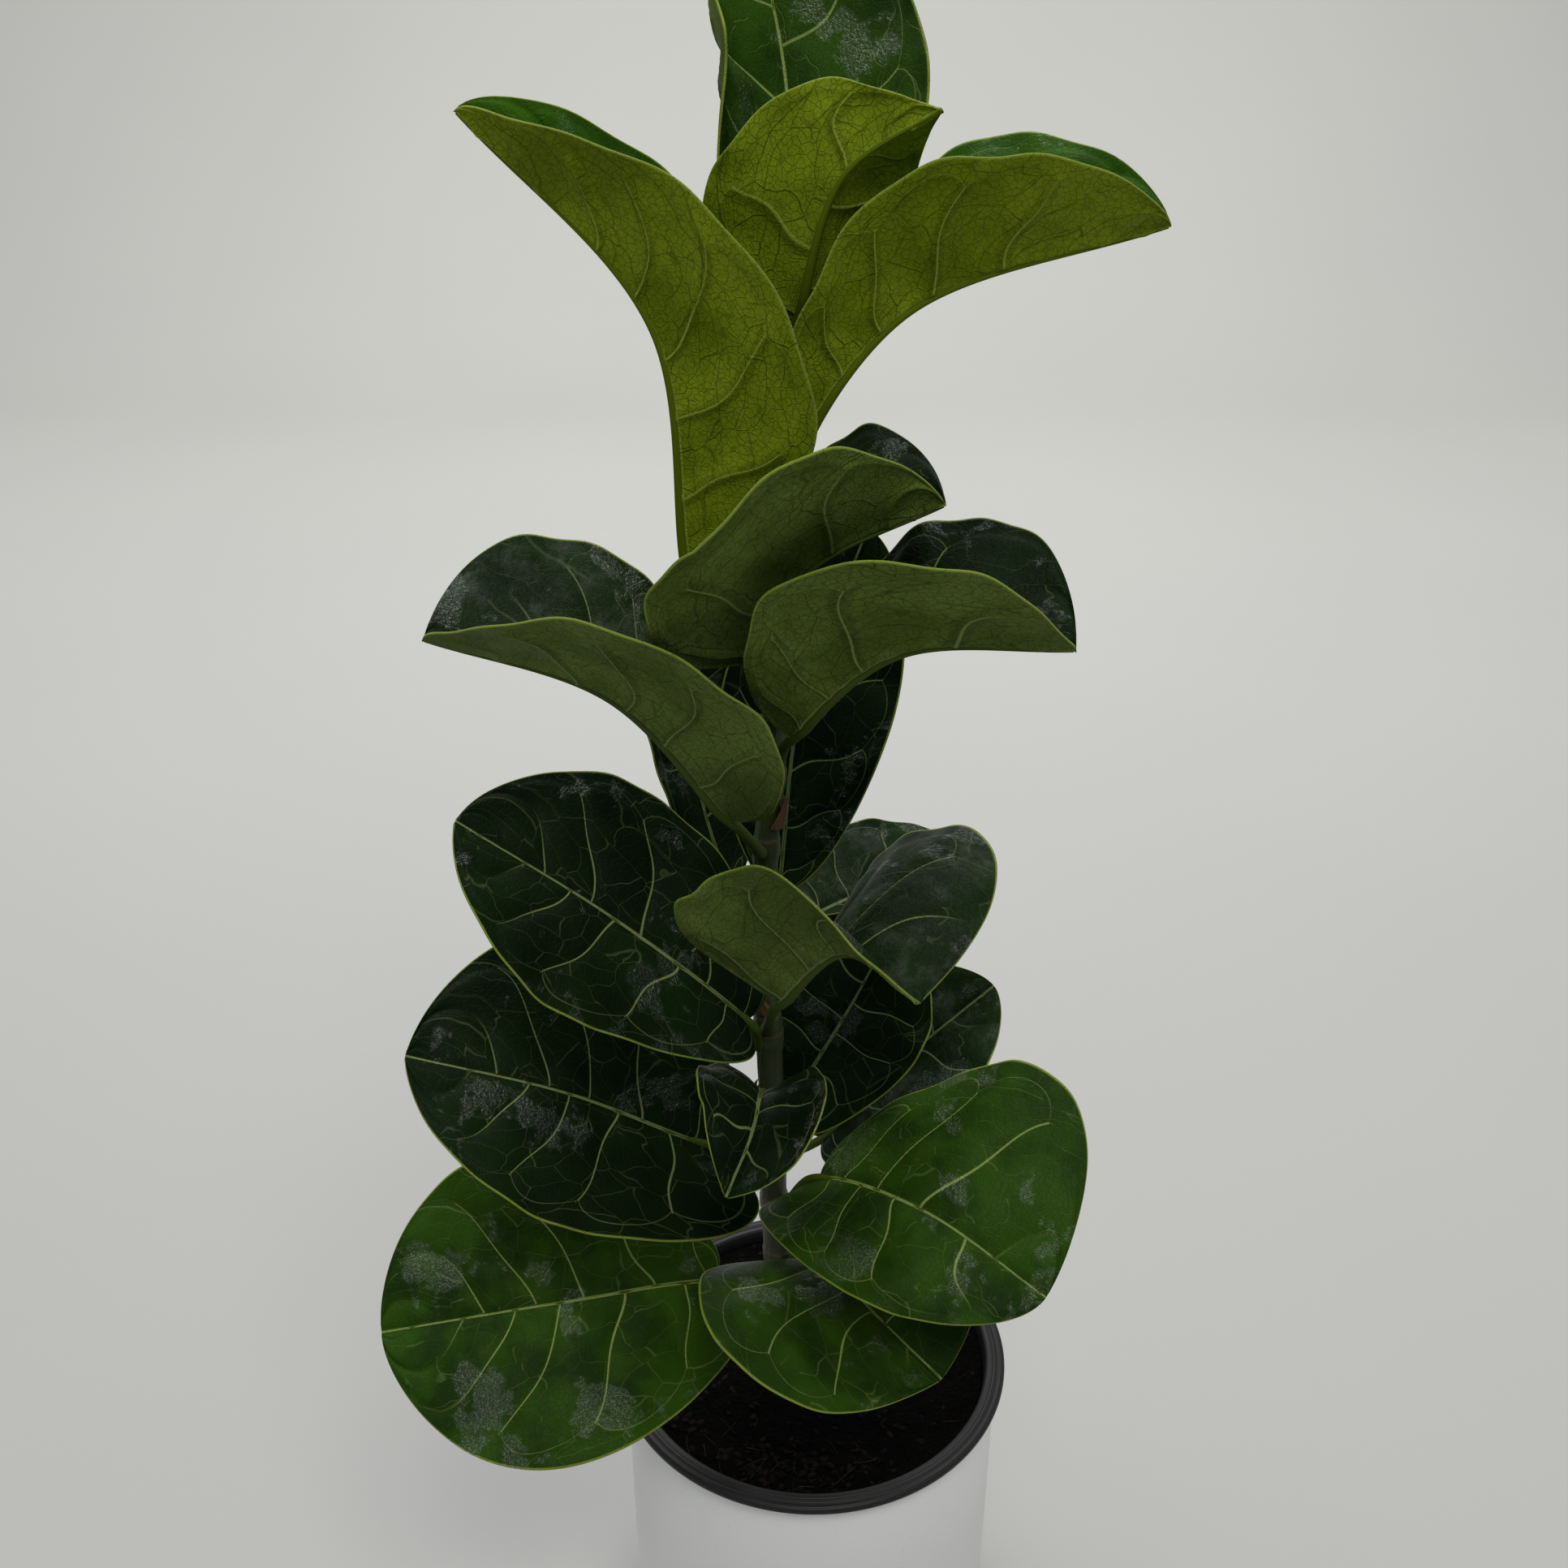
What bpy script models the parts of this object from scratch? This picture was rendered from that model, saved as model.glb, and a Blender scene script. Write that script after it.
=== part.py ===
"""Fiddle leaf fig growing in a black nursery pot that hangs by its rim in a white cover pot.

The frame's origin is the centre of the cover pot's underside, with +Z up.
The pot is turned work, the stem is a tapering tube, and each leaf is one loft:
a round petiole that flattens into a blade with a raised midrib under it.
"""

from collections import namedtuple

import bmesh
import bpy
import numpy as np

MM = 0.001
GAP = 0.3

# Pots and soil, in millimetres.
COVER_RADIUS = 95.5
COVER_WALL = 3.6
COVER_FLOOR = 5.0
COVER_BEVEL = 3.0
RIM_RADIUS = 100.0
RIM_TOP = 190.0
RIM_DEPTH = 4.0
NURSERY_TOP_RADIUS = 91.2
NURSERY_BASE_RADIUS = 74.0
NURSERY_BASE = 12.0
NURSERY_WALL = 1.6
DRAIN_HOLES = 6
DRAIN_RADIUS = 6.0
DRAIN_RING = 48.0
SOIL_TOP = 184.0
SOIL_MOUND = 3.0
TURNED_STEPS = 40

# The stem's centre line, with its radius at each point, in millimetres.
STEM = (
    (-6, 0, 150, 7.0),
    (-9, 0, 190, 7.6),
    (-14, 0, 228, 6.6),
    (-17, 0, 252, 6.8),
    (-19, 0, 286, 6.3),
    (-20, 0, 320, 6.5),
    (-20, 0, 350, 5.8),
    (-21, 0, 385, 6.2),
    (-23, 0, 415, 5.3),
    (-23, 0, 448, 5.9),
    (-22, 0, 484, 5.4),
    (-19, 0, 517, 5.2),
    (-17, 0, 554, 5.0),
    (-15, 0, 600, 4.0),
    (-14, 0, 640, 4.4),
    (-13, 0, 672, 3.6),
    (-13, 0, 703, 3.8),
)
STEM_SIDES = 10
BUD_LENGTH = 26.0
BUD_RADIUS = 3.4

# A leaf's route is its midrib: foot on the stem, base, middle and tip of the blade, in millimetres.
# Pairs are its left and right half, seen from above with the tip ahead. Fold and curl are degrees
# at the base, middle and tip. facing is the way the upper side looks, at the base and at the tip.
Leaf = namedtuple("Leaf", "route facing half_width swell round_off lobe fold curl")

LEAVES = {
    "leaf_01": Leaf(
        route=((-14, -4, 228), (-48, -28, 261), (-117, -62, 280), (-197, -74, 274)),
        facing=((0.1, -0.6, 0.75), (0.1, -0.65, 0.8)),
        half_width=(70, 70), swell=(1.1, 1.5), round_off=(0.58, 0.52), lobe=(1.3, 1.3),
        fold=((6, 6, 6), (6, 6, 6)), curl=((0, 0, 0), (0, 0, 0))),
    "leaf_02": Leaf(
        route=((-12, -6, 252), (3, -34, 281), (27, -76, 287), (55, -102, 275)),
        facing=((-0.1, -0.5, 1), (0, -0.5, 0.9)),
        half_width=(66, 74), swell=(1, 0.8), round_off=(0.58, 0.58), lobe=(0.6, 0.9),
        fold=((10, 10, 10), (26, 26, 26)), curl=((0, 0, 0), (0, 0, 0))),
    "leaf_03": Leaf(
        route=((-14, -4, 286), (2, -25, 322), (48, -74, 344), (97, -104, 324)),
        facing=((-0.1, -0.6, 1), (-0.1, -0.7, 0.9)),
        half_width=(82, 48), swell=(1.5, 0.95), round_off=(0.58, 0.58), lobe=(0.4, 2.6),
        fold=((0, 0, 0), (6, 6, 6)), curl=((0, 0, 0), (0, 0, 0))),
    "leaf_04": Leaf(
        route=((-14, 6, 310), (6, 38, 295), (51, 60, 331), (94, 75, 363)),
        facing=((-0.3, -0.7, 0.8), (-0.2, -0.8, 0.8)),
        half_width=(44, 44), swell=(1.1, 1.1), round_off=(0.58, 0.58), lobe=(1.2, 1.6),
        fold=((25, 25, 25), (25, 25, 25)), curl=((0, 0, 0), (0, 0, 0))),
    "leaf_05": Leaf(
        route=((-22, -4, 316), (-52, -26, 343), (-108, -52, 391), (-172, -66, 421)),
        facing=((0.2, -0.55, 0.8), (0.2, -0.5, 0.85)),
        half_width=(60, 75), swell=(1, 1.15), round_off=(0.58, 0.58), lobe=(2.9, 2),
        fold=((8, 8, 8), (6, 6, 6)), curl=((0, 0, 0), (0, 0, 0))),
    "leaf_06": Leaf(
        route=((-18, 6, 322), (-6, 18, 341), (19, 28, 384), (40, 34, 428)),
        facing=((-0.3, -1, 0.7), (-0.2, -0.8, 0.8)),
        half_width=(47, 44), swell=(1.1, 1.1), round_off=(0.58, 0.58), lobe=(0.8, 2.2),
        fold=((20, 20, 20), (15, 15, 15)), curl=((0, 0, 0), (0, 0, 0))),
    "leaf_07": Leaf(
        route=((-21, -6, 334), (-24, -35, 379), (-28, -78, 388), (-38, -98, 373)),
        facing=((0, -0.5, 1), (0, -0.8, 0.6)),
        half_width=(32, 31), swell=(0.75, 0.75), round_off=(0.7, 0.9), lobe=(1.2, 1.2),
        fold=((20, 20, 20), (28, 28, 28)), curl=((10, 10, 10), (0, 0, 0))),
    "leaf_08": Leaf(
        route=((-26, -5, 383), (-30, -26, 411), (-85, -33, 467), (-147, -40, 518)),
        facing=((0.2, -0.6, 0.8), (0.3, -0.5, 0.9)),
        half_width=(54, 58), swell=(1.3, 1.15), round_off=(0.58, 0.58), lobe=(2, 0.8),
        fold=((8, 8, 8), (8, 8, 8)), curl=((0, 0, 0), (0, 0, 0))),
    "leaf_09": Leaf(
        route=((-22, -6, 392), (-16, -42, 431), (11, -76, 478), (37, -108, 476)),
        facing=((-0.4, 0.1, 1), (0, -0.1, 1)),
        half_width=(84, 60), swell=(1, 0.6), round_off=(0.58, 0.6), lobe=(0.3, 0.1),
        fold=((12, 12, 12), (70, 70, 45)), curl=((0, 0, 0), (0, 0, 0))),
    "leaf_10": Leaf(
        route=((-22, 6, 430), (-7, 48, 417), (31, 92, 411), (81, 118, 415)),
        facing=((-0.2, -0.6, 0.9), (-0.2, -0.6, 0.9)),
        half_width=(36, 36), swell=(1.1, 1.1), round_off=(0.58, 0.58), lobe=(0.4, 0.4),
        fold=((15, 15, 15), (15, 15, 15)), curl=((0, 0, 0), (0, 0, 0))),
    "leaf_11": Leaf(
        route=((-22, 6, 446), (-17, 18, 452), (-7, 48, 527), (23, 70, 607)),
        facing=((-0.1, -1, 0.5), (0, -1, 0.4)),
        half_width=(38, 44), swell=(1.1, 1.1), round_off=(0.58, 0.58), lobe=(0.3, 0.3),
        fold=((20, 20, 20), (20, 20, 20)), curl=((0, 0, 0), (0, 0, 0))),
    "leaf_12": Leaf(
        route=((-26, 6, 450), (-39, 26, 453), (-57, 56, 507), (-57, 78, 590)),
        facing=((0.8, -0.7, 0.3), (0.6, -0.8, 0.3)),
        half_width=(26, 42), swell=(1.1, 1.1), round_off=(0.58, 0.58), lobe=(0.3, 0.3),
        fold=((5, 5, 5), (10, 10, 10)), curl=((0, 0, 0), (0, 0, 0))),
    "leaf_13": Leaf(
        route=((-24, -6, 484), (-36, -28, 512), (-81, -46, 575), (-151, -46, 599)),
        facing=((0.7, 0.1, 0.7), (0.15, 0, 1)),
        half_width=(60, 62), swell=(1, 1.8), round_off=(0.58, 0.42), lobe=(0.3, 0.5),
        fold=((45, 38, 30), (35, 30, 40)), curl=((10, 10, 10), (10, 10, 10))),
    "leaf_14": Leaf(
        route=((-17, -5, 517), (-11, -46, 558), (28, -78, 606), (89, -88, 611)),
        facing=((-0.7, 0.2, 0.6), (-0.1, 0, 1)),
        half_width=(56, 56), swell=(1.9, 1.25), round_off=(0.42, 0.62), lobe=(0.5, 0.1),
        fold=((25, 28, 40), (62, 50, 32)), curl=((10, 10, 10), (10, 10, 10))),
    "leaf_15": Leaf(
        route=((-18, -8, 548), (-28, -42, 588), (-4, -64, 634), (42, -72, 659)),
        facing=((-0.7, 0.4, 0.5), (-0.3, 0.1, 0.95)),
        half_width=(56, 61), swell=(2.6, 0.95), round_off=(0.5, 0.55), lobe=(1, 0.1),
        fold=((38, 42, 20), (26, 22, 60)), curl=((10, 10, 10), (5, 5, 5))),
    "leaf_16": Leaf(
        route=((-18, -4, 560), (-47, -4, 597), (-61, -20, 710), (-125, -28, 783)),
        facing=((1, 0.1, 0.3), (0.5, 0, 0.85)),
        half_width=(52, 45), swell=(0.85, 1.1), round_off=(0.58, 0.58), lobe=(0.3, 0.3),
        fold=((62, 58, 38), (0, 30, 72)), curl=((20, 15, 10), (0, 7.5, 15))),
    "leaf_17": Leaf(
        route=((-10, -4, 640), (-11, -14, 659), (29, -24, 716), (119, -36, 747)),
        facing=((-0.9, 0.1, 0.4), (-0.45, 0, 0.9)),
        half_width=(57, 48), swell=(1.2, 1.6), round_off=(0.58, 0.58), lobe=(0.3, 0.3),
        fold=((0, 28, 60), (60, 58, 38)), curl=((10, 10, 10), (10, 15, 20))),
    "leaf_18": Leaf(
        route=((-12, 6, 700), (-13, 20, 722), (-13, 58, 786), (-27, 85, 853)),
        facing=((0, -1, 0.15), (0, -1, 0.3)),
        half_width=(61, 56), swell=(1, 1), round_off=(0.58, 0.58), lobe=(0.3, 0.3),
        fold=((15, 20, 20), (5, 5, 5)), curl=((95, 95, 95), (20, 20, 20))),
    "leaf_19": Leaf(
        route=((-12, -4, 700), (-9, -12, 711), (6, -30, 762), (38, -42, 784)),
        facing=((-0.1, 1, 0.4), (-0.1, 0.9, 0.5)),
        half_width=(40, 44), swell=(0.95, 0.62), round_off=(0.75, 0.95), lobe=(0.2, 0.2),
        fold=((5, 5, 50), (22, 28, 26)), curl=((0, 0, 0), (8, 8, 8))),
}

# Papery sheaths left at the nodes: the height on the stem, the heading and the length.
STIPULES = {
    "stipule_1": (348, -150, 15),
    "stipule_2": (402, -115, 14),
    "stipule_3": (497, -35, 16),
    "stipule_4": (571, -80, 14),
}

PETIOLE_RADIUS = (2.6, 1.9)
BLADE_THICKNESS = 1.0
MIDRIB_DEPTH = (1.8, 0.4)
LEAF_STATIONS = (0.025, 0.09, 0.18, 0.29, 0.41, 0.53, 0.65, 0.76, 0.86, 0.93, 0.975, 0.996)
HALF_COLUMNS = 4


def unit(vectors):
    return vectors / np.maximum(np.linalg.norm(vectors, axis=-1, keepdims=True), 1e-12)


def smooth_curve(knots, steps=40):
    """Points of a curve through the knots (centripetal Catmull-Rom), and their run lengths."""
    knots = np.asarray(knots, float)
    ends = np.vstack([2 * knots[0] - knots[1], knots, 2 * knots[-1] - knots[-2]])
    t = np.linspace(0, 1, steps + 1)[:, None]
    pieces = []
    for p0, p1, p2, p3 in zip(ends, ends[1:], ends[2:], ends[3:]):
        d0, d1, d2 = (np.sqrt(np.linalg.norm(b - a)) for a, b in ((p0, p1), (p1, p2), (p2, p3)))
        start = (p2 - p1) + d1 * ((p1 - p0) / d0 - (p2 - p0) / (d0 + d1))
        finish = (p2 - p1) + d1 * ((p3 - p2) / d2 - (p3 - p1) / (d1 + d2))
        piece = (2 * t**3 - 3 * t**2 + 1) * p1 + (t**3 - 2 * t**2 + t) * start
        piece += (3 * t**2 - 2 * t**3) * p2 + (t**3 - t**2) * finish
        pieces.append(piece[1:] if pieces else piece)
    points = np.vstack(pieces)
    runs = np.r_[0, np.cumsum(np.linalg.norm(np.diff(points, axis=0), axis=1))]
    return points, runs


def read_curve(points, runs, at):
    return np.stack([np.interp(at, runs, points[:, axis]) for axis in range(3)], -1)


def midrib_frames(leaf, at):
    """Place, heading, upper side and right side at these runs along the route, foot to tip."""
    points, runs = smooth_curve(leaf.route)
    base, tip = runs[40], runs[-1]
    place = read_curve(points, runs, at)
    ahead = read_curve(points, runs, np.clip(at + 2, 0, tip))
    heading = unit(ahead - read_curve(points, runs, np.clip(at - 2, 0, tip)))
    share = np.clip((at - base) / (tip - base), 0, 1)[:, None]
    upper = unit(np.array(leaf.facing[0], float)) * (1 - share)
    upper = upper + unit(np.array(leaf.facing[1], float)) * share
    upper = unit(upper - (upper * heading).sum(1, keepdims=True) * heading)
    return place, heading, upper, np.cross(heading, upper)


def half_blade(leaf, side, stations, frames, columns):
    """Mid-surface of one half of the blade, from the midrib out, as stations by columns."""
    place, heading, upper, right = frames
    reach = leaf.half_width[side]
    width = reach * np.sin(np.pi * stations ** leaf.swell[side]) ** leaf.round_off[side]
    fold = np.radians(np.interp(stations, (0, 0.5, 1), leaf.fold[side]))
    bend = np.radians(np.interp(stations, (0, 0.5, 1), leaf.curl[side]))
    bend = np.where(np.abs(bend) < 1e-4, 1e-4, bend) / reach
    outward = right if side else -right
    half = []
    for share in np.linspace(0, 1, columns + 1):
        run = share * width
        along = (np.sin(fold + bend * run) - np.sin(fold)) / bend
        rise = (np.cos(fold) - np.cos(fold + bend * run)) / bend
        back = leaf.lobe[side] * run * share * (1 - stations) ** 6
        half.append(
            place + along[:, None] * outward + rise[:, None] * upper - back[:, None] * heading
        )
    return np.stack(half, 1)


def petiole_start(leaf, stem_points):
    """The run along the route where the petiole's end clears the stem."""
    points, runs = smooth_curve(leaf.route)
    for start in np.arange(0, runs[40], 0.25):
        ring = petiole_ring(leaf, np.array([start]), PETIOLE_RADIUS[0], 12)[0]
        to_stem = np.linalg.norm(ring[:, None, :] - stem_points[None, :, :3], axis=2)
        if (to_stem - stem_points[None, :, 3]).min() > GAP:
            return start
    return runs[40] * 0.5


def petiole_ring(leaf, at, radius, sides):
    """Rings round the petiole, starting on its left and going over its upper side."""
    place, heading, upper, right = midrib_frames(leaf, at)
    angle = np.pi - np.arange(sides) * 2 * np.pi / sides
    across = np.cos(angle)[None, :, None] * right[:, None, :]
    up = np.sin(angle)[None, :, None] * upper[:, None, :]
    return place[:, None, :] + np.reshape(radius, (-1, 1, 1)) * (across + up)


def leaf_rings(leaf, stem_points):
    """Every cross-section of a leaf as a closed ring, from the stem to the tip."""
    runs = smooth_curve(leaf.route)[1]
    base, tip = runs[40], runs[-1]
    sides = 4 * HALF_COLUMNS
    start = petiole_start(leaf, stem_points)
    at = np.linspace(start, base, 3)
    rings = list(petiole_ring(leaf, at, np.linspace(*PETIOLE_RADIUS, 3), sides))
    stations = np.array(LEAF_STATIONS)
    frames = midrib_frames(leaf, base + stations * (tip - base))
    left = half_blade(leaf, 0, stations, frames, HALF_COLUMNS)
    right = half_blade(leaf, 1, stations, frames, HALF_COLUMNS)
    sheet = np.concatenate([left[:, ::-1], right[:, 1:]], 1)
    across = unit(np.gradient(sheet, axis=1))
    normal = unit(np.cross(across, frames[1][:, None, :]))
    centre = HALF_COLUMNS
    share = np.abs(np.arange(2 * centre + 1) - centre) / centre
    thickness = BLADE_THICKNESS * np.sqrt(1 - share**2)
    top = sheet + normal * thickness[None, :, None] / 2
    under = sheet - normal * thickness[None, :, None] / 2
    rib = np.interp(stations, (0, 1), MIDRIB_DEPTH)[:, None]
    under[:, centre] -= rib * normal[:, centre]
    for upper_row, under_row in zip(top, under):
        rings.append(np.vstack([upper_row, under_row[-2:0:-1]]))
    return np.array(rings)


def loft(name, rings, slot):
    """One closed body through the rings, with a cap on each end.

    A ring runs over the upper side and back under it. Each quad is split along the same line on
    both sides, so that a thin twisted blade doesn't cut through itself.
    """
    count, sides = rings.shape[:2]
    points = [tuple(point) for point in (rings * MM).reshape(-1, 3)]
    faces = []
    for row in range(count - 1):
        for side in range(sides):
            beside = (side + 1) % sides
            first, second = row * sides, (row + 1) * sides
            a, b, c, d = first + side, first + beside, second + beside, second + side
            faces += [(a, b, c), (a, c, d)] if side < sides // 2 else [(a, b, d), (b, c, d)]
    faces.append(tuple(range(sides)[::-1]))
    faces.append(tuple((count - 1) * sides + side for side in range(sides)))
    mesh = bpy.data.meshes.new(name)
    mesh.from_pydata(points, [], faces)
    shaped = bmesh.new()
    shaped.from_mesh(mesh)
    bmesh.ops.recalc_face_normals(shaped, faces=shaped.faces)
    if shaped.calc_volume(signed=True) < 0:
        bmesh.ops.reverse_faces(shaped, faces=shaped.faces)
    shaped.to_mesh(mesh)
    shaped.free()
    mesh.shade_smooth()
    return add_object(name, mesh, slot)


def add_object(name, data, slot):
    made = bpy.data.objects.new(name, data)
    PARTS.objects.link(made)
    data.materials.append(MATERIALS[slot])
    return made


def turned(name, profile, slot, steps=TURNED_STEPS):
    """A profile of (radius, height) in millimetres turned about Z."""
    mesh = bpy.data.meshes.new(name)
    points = [(radius * MM, 0, height * MM) for radius, height in profile]
    mesh.from_pydata(points, [(i, i + 1) for i in range(len(points) - 1)], [])
    made = add_object(name, mesh, slot)
    screw = made.modifiers.new("turn", "SCREW")
    screw.steps = steps
    screw.render_steps = steps
    screw.use_merge_vertices = True
    screw.merge_threshold = 0.00001
    screw.use_smooth_shade = True
    return made


def cut(made, cutter_mesh):
    """Takes a cutter's shape out of an object."""
    cutter = bpy.data.objects.new("cutter_" + made.name, cutter_mesh)
    CUTTERS.objects.link(cutter)
    cutter.hide_render = True
    cutter.display_type = "WIRE"
    boolean = made.modifiers.new("cut", "BOOLEAN")
    boolean.operation = "DIFFERENCE"
    boolean.object = cutter


def upright_cylinders(name, centres, radius, low, high):
    """Cylinders along Z in one cutter mesh."""
    shaped = bmesh.new()
    for x, y in centres:
        made = bmesh.ops.create_cone(
            shaped,
            cap_ends=True,
            segments=20,
            radius1=radius * MM,
            radius2=radius * MM,
            depth=(high - low) * MM,
        )
        middle = (x * MM, y * MM, (low + high) / 2 * MM)
        bmesh.ops.translate(shaped, vec=middle, verts=made["verts"])
    mesh = bpy.data.meshes.new(name)
    shaped.to_mesh(mesh)
    shaped.free()
    return mesh


def make_cover_pot():
    lip = RIM_TOP - RIM_DEPTH - GAP
    inside = COVER_RADIUS - COVER_WALL
    turned(
        "cover_pot",
        (
            (0, COVER_FLOOR),
            (inside - 2, COVER_FLOOR),
            (inside, COVER_FLOOR + 2),
            (inside, lip - 0.6),
            (inside + 0.6, lip),
            (COVER_RADIUS - 0.8, lip),
            (COVER_RADIUS, lip - 0.8),
            (COVER_RADIUS, COVER_BEVEL),
            (COVER_RADIUS - COVER_BEVEL * 0.3, COVER_BEVEL * 0.3),
            (COVER_RADIUS - COVER_BEVEL, 0),
            (0, 0),
        ),
        "white_ceramic",
    )


def make_nursery_pot():
    """A tapering pot with a broad flat rim, which hooks over the cover pot's lip."""
    inside_top = NURSERY_TOP_RADIUS - NURSERY_WALL
    inside_base = NURSERY_BASE_RADIUS - NURSERY_WALL
    under_rim = RIM_TOP - RIM_DEPTH
    pot = turned(
        "nursery_pot",
        (
            (0, NURSERY_BASE + NURSERY_WALL),
            (inside_base, NURSERY_BASE + NURSERY_WALL),
            (inside_top, under_rim),
            (inside_top + 0.4, RIM_TOP - 0.8),
            (inside_top + 1.2, RIM_TOP),
            (RIM_RADIUS - 4.2, RIM_TOP - 0.2),
            (RIM_RADIUS - 1.2, RIM_TOP - 0.8),
            (RIM_RADIUS, RIM_TOP - 2.0),
            (RIM_RADIUS - 0.2, under_rim + 0.3),
            (RIM_RADIUS - 1.0, under_rim),
            (NURSERY_TOP_RADIUS, under_rim),
            (NURSERY_BASE_RADIUS, NURSERY_BASE + 1.5),
            (NURSERY_BASE_RADIUS - 1.5, NURSERY_BASE),
            (0, NURSERY_BASE),
        ),
        "black_plastic",
    )
    turns = np.arange(DRAIN_HOLES) * 2 * np.pi / DRAIN_HOLES
    centres = [(DRAIN_RING * np.cos(turn), DRAIN_RING * np.sin(turn)) for turn in turns]
    low, high = NURSERY_BASE - 2, NURSERY_BASE + NURSERY_WALL + 2
    cut(pot, upright_cylinders("drain_holes", centres, DRAIN_RADIUS, low, high))


def make_soil():
    """The root ball and compost, gently mounded to the stem, with the stem's socket cut out."""
    low = NURSERY_BASE + NURSERY_WALL + GAP
    inside_top = NURSERY_TOP_RADIUS - NURSERY_WALL - GAP
    inside_base = NURSERY_BASE_RADIUS - NURSERY_WALL - GAP - 0.2
    slope = (inside_top - inside_base) / (RIM_TOP - RIM_DEPTH - low)
    edge = inside_base + slope * (SOIL_TOP - low) - 0.2
    soil = turned(
        "soil",
        (
            (0, SOIL_TOP + SOIL_MOUND),
            (26, SOIL_TOP + SOIL_MOUND * 0.7),
            (58, SOIL_TOP + SOIL_MOUND * 0.25),
            (edge, SOIL_TOP),
            (inside_base, low),
            (0, low),
        ),
        "potting_soil",
    )
    foot = STEM[0]
    socket = STEM[1][3] + GAP + 0.4
    centre = [((STEM[0][0] + STEM[1][0]) / 2, 0)]
    cut(soil, upright_cylinders("stem_socket", centre, socket + 1.5, foot[2] - 1, SOIL_TOP + 20))


def make_stem():
    """A tapering tube, a little thicker at each node."""
    curve = bpy.data.curves.new("stem", "CURVE")
    curve.dimensions = "3D"
    curve.bevel_depth = MM
    curve.bevel_resolution = (STEM_SIDES - 4) // 2
    curve.use_fill_caps = True
    spline = curve.splines.new("POLY")
    spline.points.add(len(STEM) - 1)
    for point, (x, y, z, radius) in zip(spline.points, STEM):
        point.co = (x * MM, y * MM, z * MM, 1)
        point.radius = radius
    add_object("stem", curve, "green_stem")


def stem_samples():
    """Points down the stem's centre line with the radius there, a millimetre apart."""
    knots = np.array(STEM, float)
    heights = np.arange(knots[0, 2], knots[-1, 2] + 1)
    columns = [np.interp(heights, knots[:, 2], knots[:, axis]) for axis in (0, 1, 2, 3)]
    return np.stack(columns, 1)


def make_bud():
    """The closed sheath of the next leaf, standing on the stem's top."""
    x, y, top = STEM[-1][:3]
    bud = turned(
        "terminal_bud",
        (
            (0, BUD_LENGTH),
            (0.5, BUD_LENGTH - 1),
            (BUD_RADIUS * 0.5, BUD_LENGTH * 0.68),
            (BUD_RADIUS * 0.85, BUD_LENGTH * 0.38),
            (BUD_RADIUS, BUD_LENGTH * 0.16),
            (BUD_RADIUS * 0.85, 0),
            (0, 0),
        ),
        "bud_sheath",
        steps=12,
    )
    bud.location = (x * MM, y * MM, (top + GAP) * MM)


def make_stipules(stem_points):
    """Dry pointed scales that stand a little off the stem at its nodes."""
    for name, (height, heading, length) in STIPULES.items():
        x, y, radius = (
            np.interp(height, stem_points[:, 2], stem_points[:, axis]) for axis in (0, 1, 3)
        )
        turn = np.radians(heading)
        out = np.array([np.cos(turn), np.sin(turn), 0])
        side = np.array([-np.sin(turn), np.cos(turn), 0])
        centre = np.array([x, y, height])
        rings = []
        for share in np.linspace(0, 1, 6):
            off = radius + 1.2 + 2.6 * share**2
            half = 3.4 * np.cos(share * np.pi / 2 * 0.94)
            middle = centre + out * off + np.array([0, 0, length * share])
            wrap = 0.9 * half
            ring = [
                middle - side * half - out * wrap * 0.35,
                middle + out * 0.35,
                middle + side * half - out * wrap * 0.35,
                middle - out * 0.35,
            ]
            rings.append(ring)
        loft(name, np.array(rings), "dry_stipule")


def make_material(name, colour, roughness, metallic=0.0):
    material = bpy.data.materials.new(name)
    material.use_nodes = True
    shader = material.node_tree.nodes["Principled BSDF"]
    shader.inputs["Base Color"].default_value = (*colour, 1)
    shader.inputs["Roughness"].default_value = roughness
    shader.inputs["Metallic"].default_value = metallic
    return material


def new_collection(name):
    made = bpy.data.collections.new(name)
    bpy.context.scene.collection.children.link(made)
    return made


for old in list(bpy.data.objects):
    bpy.data.objects.remove(old, do_unlink=True)

PARTS = new_collection("potted_fiddle_leaf_fig")
CUTTERS = new_collection("cutters")
MATERIALS = {
    "leaf": make_material("leaf", (0.018, 0.075, 0.014), 0.32),
    "young_leaf": make_material("young_leaf", (0.10, 0.17, 0.012), 0.38),
    "green_stem": make_material("green_stem", (0.10, 0.11, 0.02), 0.6),
    "bud_sheath": make_material("bud_sheath", (0.10, 0.015, 0.012), 0.5),
    "dry_stipule": make_material("dry_stipule", (0.09, 0.045, 0.02), 0.8),
    "potting_soil": make_material("potting_soil", (0.008, 0.006, 0.004), 0.95),
    "black_plastic": make_material("black_plastic", (0.03, 0.03, 0.032), 0.45),
    "white_ceramic": make_material("white_ceramic", (0.78, 0.78, 0.76), 0.35),
}
YOUNG_LEAVES = ("leaf_16", "leaf_17", "leaf_19")

make_cover_pot()
make_nursery_pot()
make_soil()
make_stem()
make_bud()
samples = stem_samples()
make_stipules(samples)
for leaf_name, design in LEAVES.items():
    slot = "young_leaf" if leaf_name in YOUNG_LEAVES else "leaf"
    loft(leaf_name, leaf_rings(design, samples), slot)
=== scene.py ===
# %% [markdown]
# # A young fiddle leaf fig in its two pots
# The plant is one upright green stem with nineteen big leathery leaves. It grows in a black nursery
# pot, whose flat rim hooks over a plain white cover pot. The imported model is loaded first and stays
# as it is: it gives every piece its place, and each piece made here stands for one of its nodes.

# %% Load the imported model
import math
from collections import namedtuple

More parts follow.
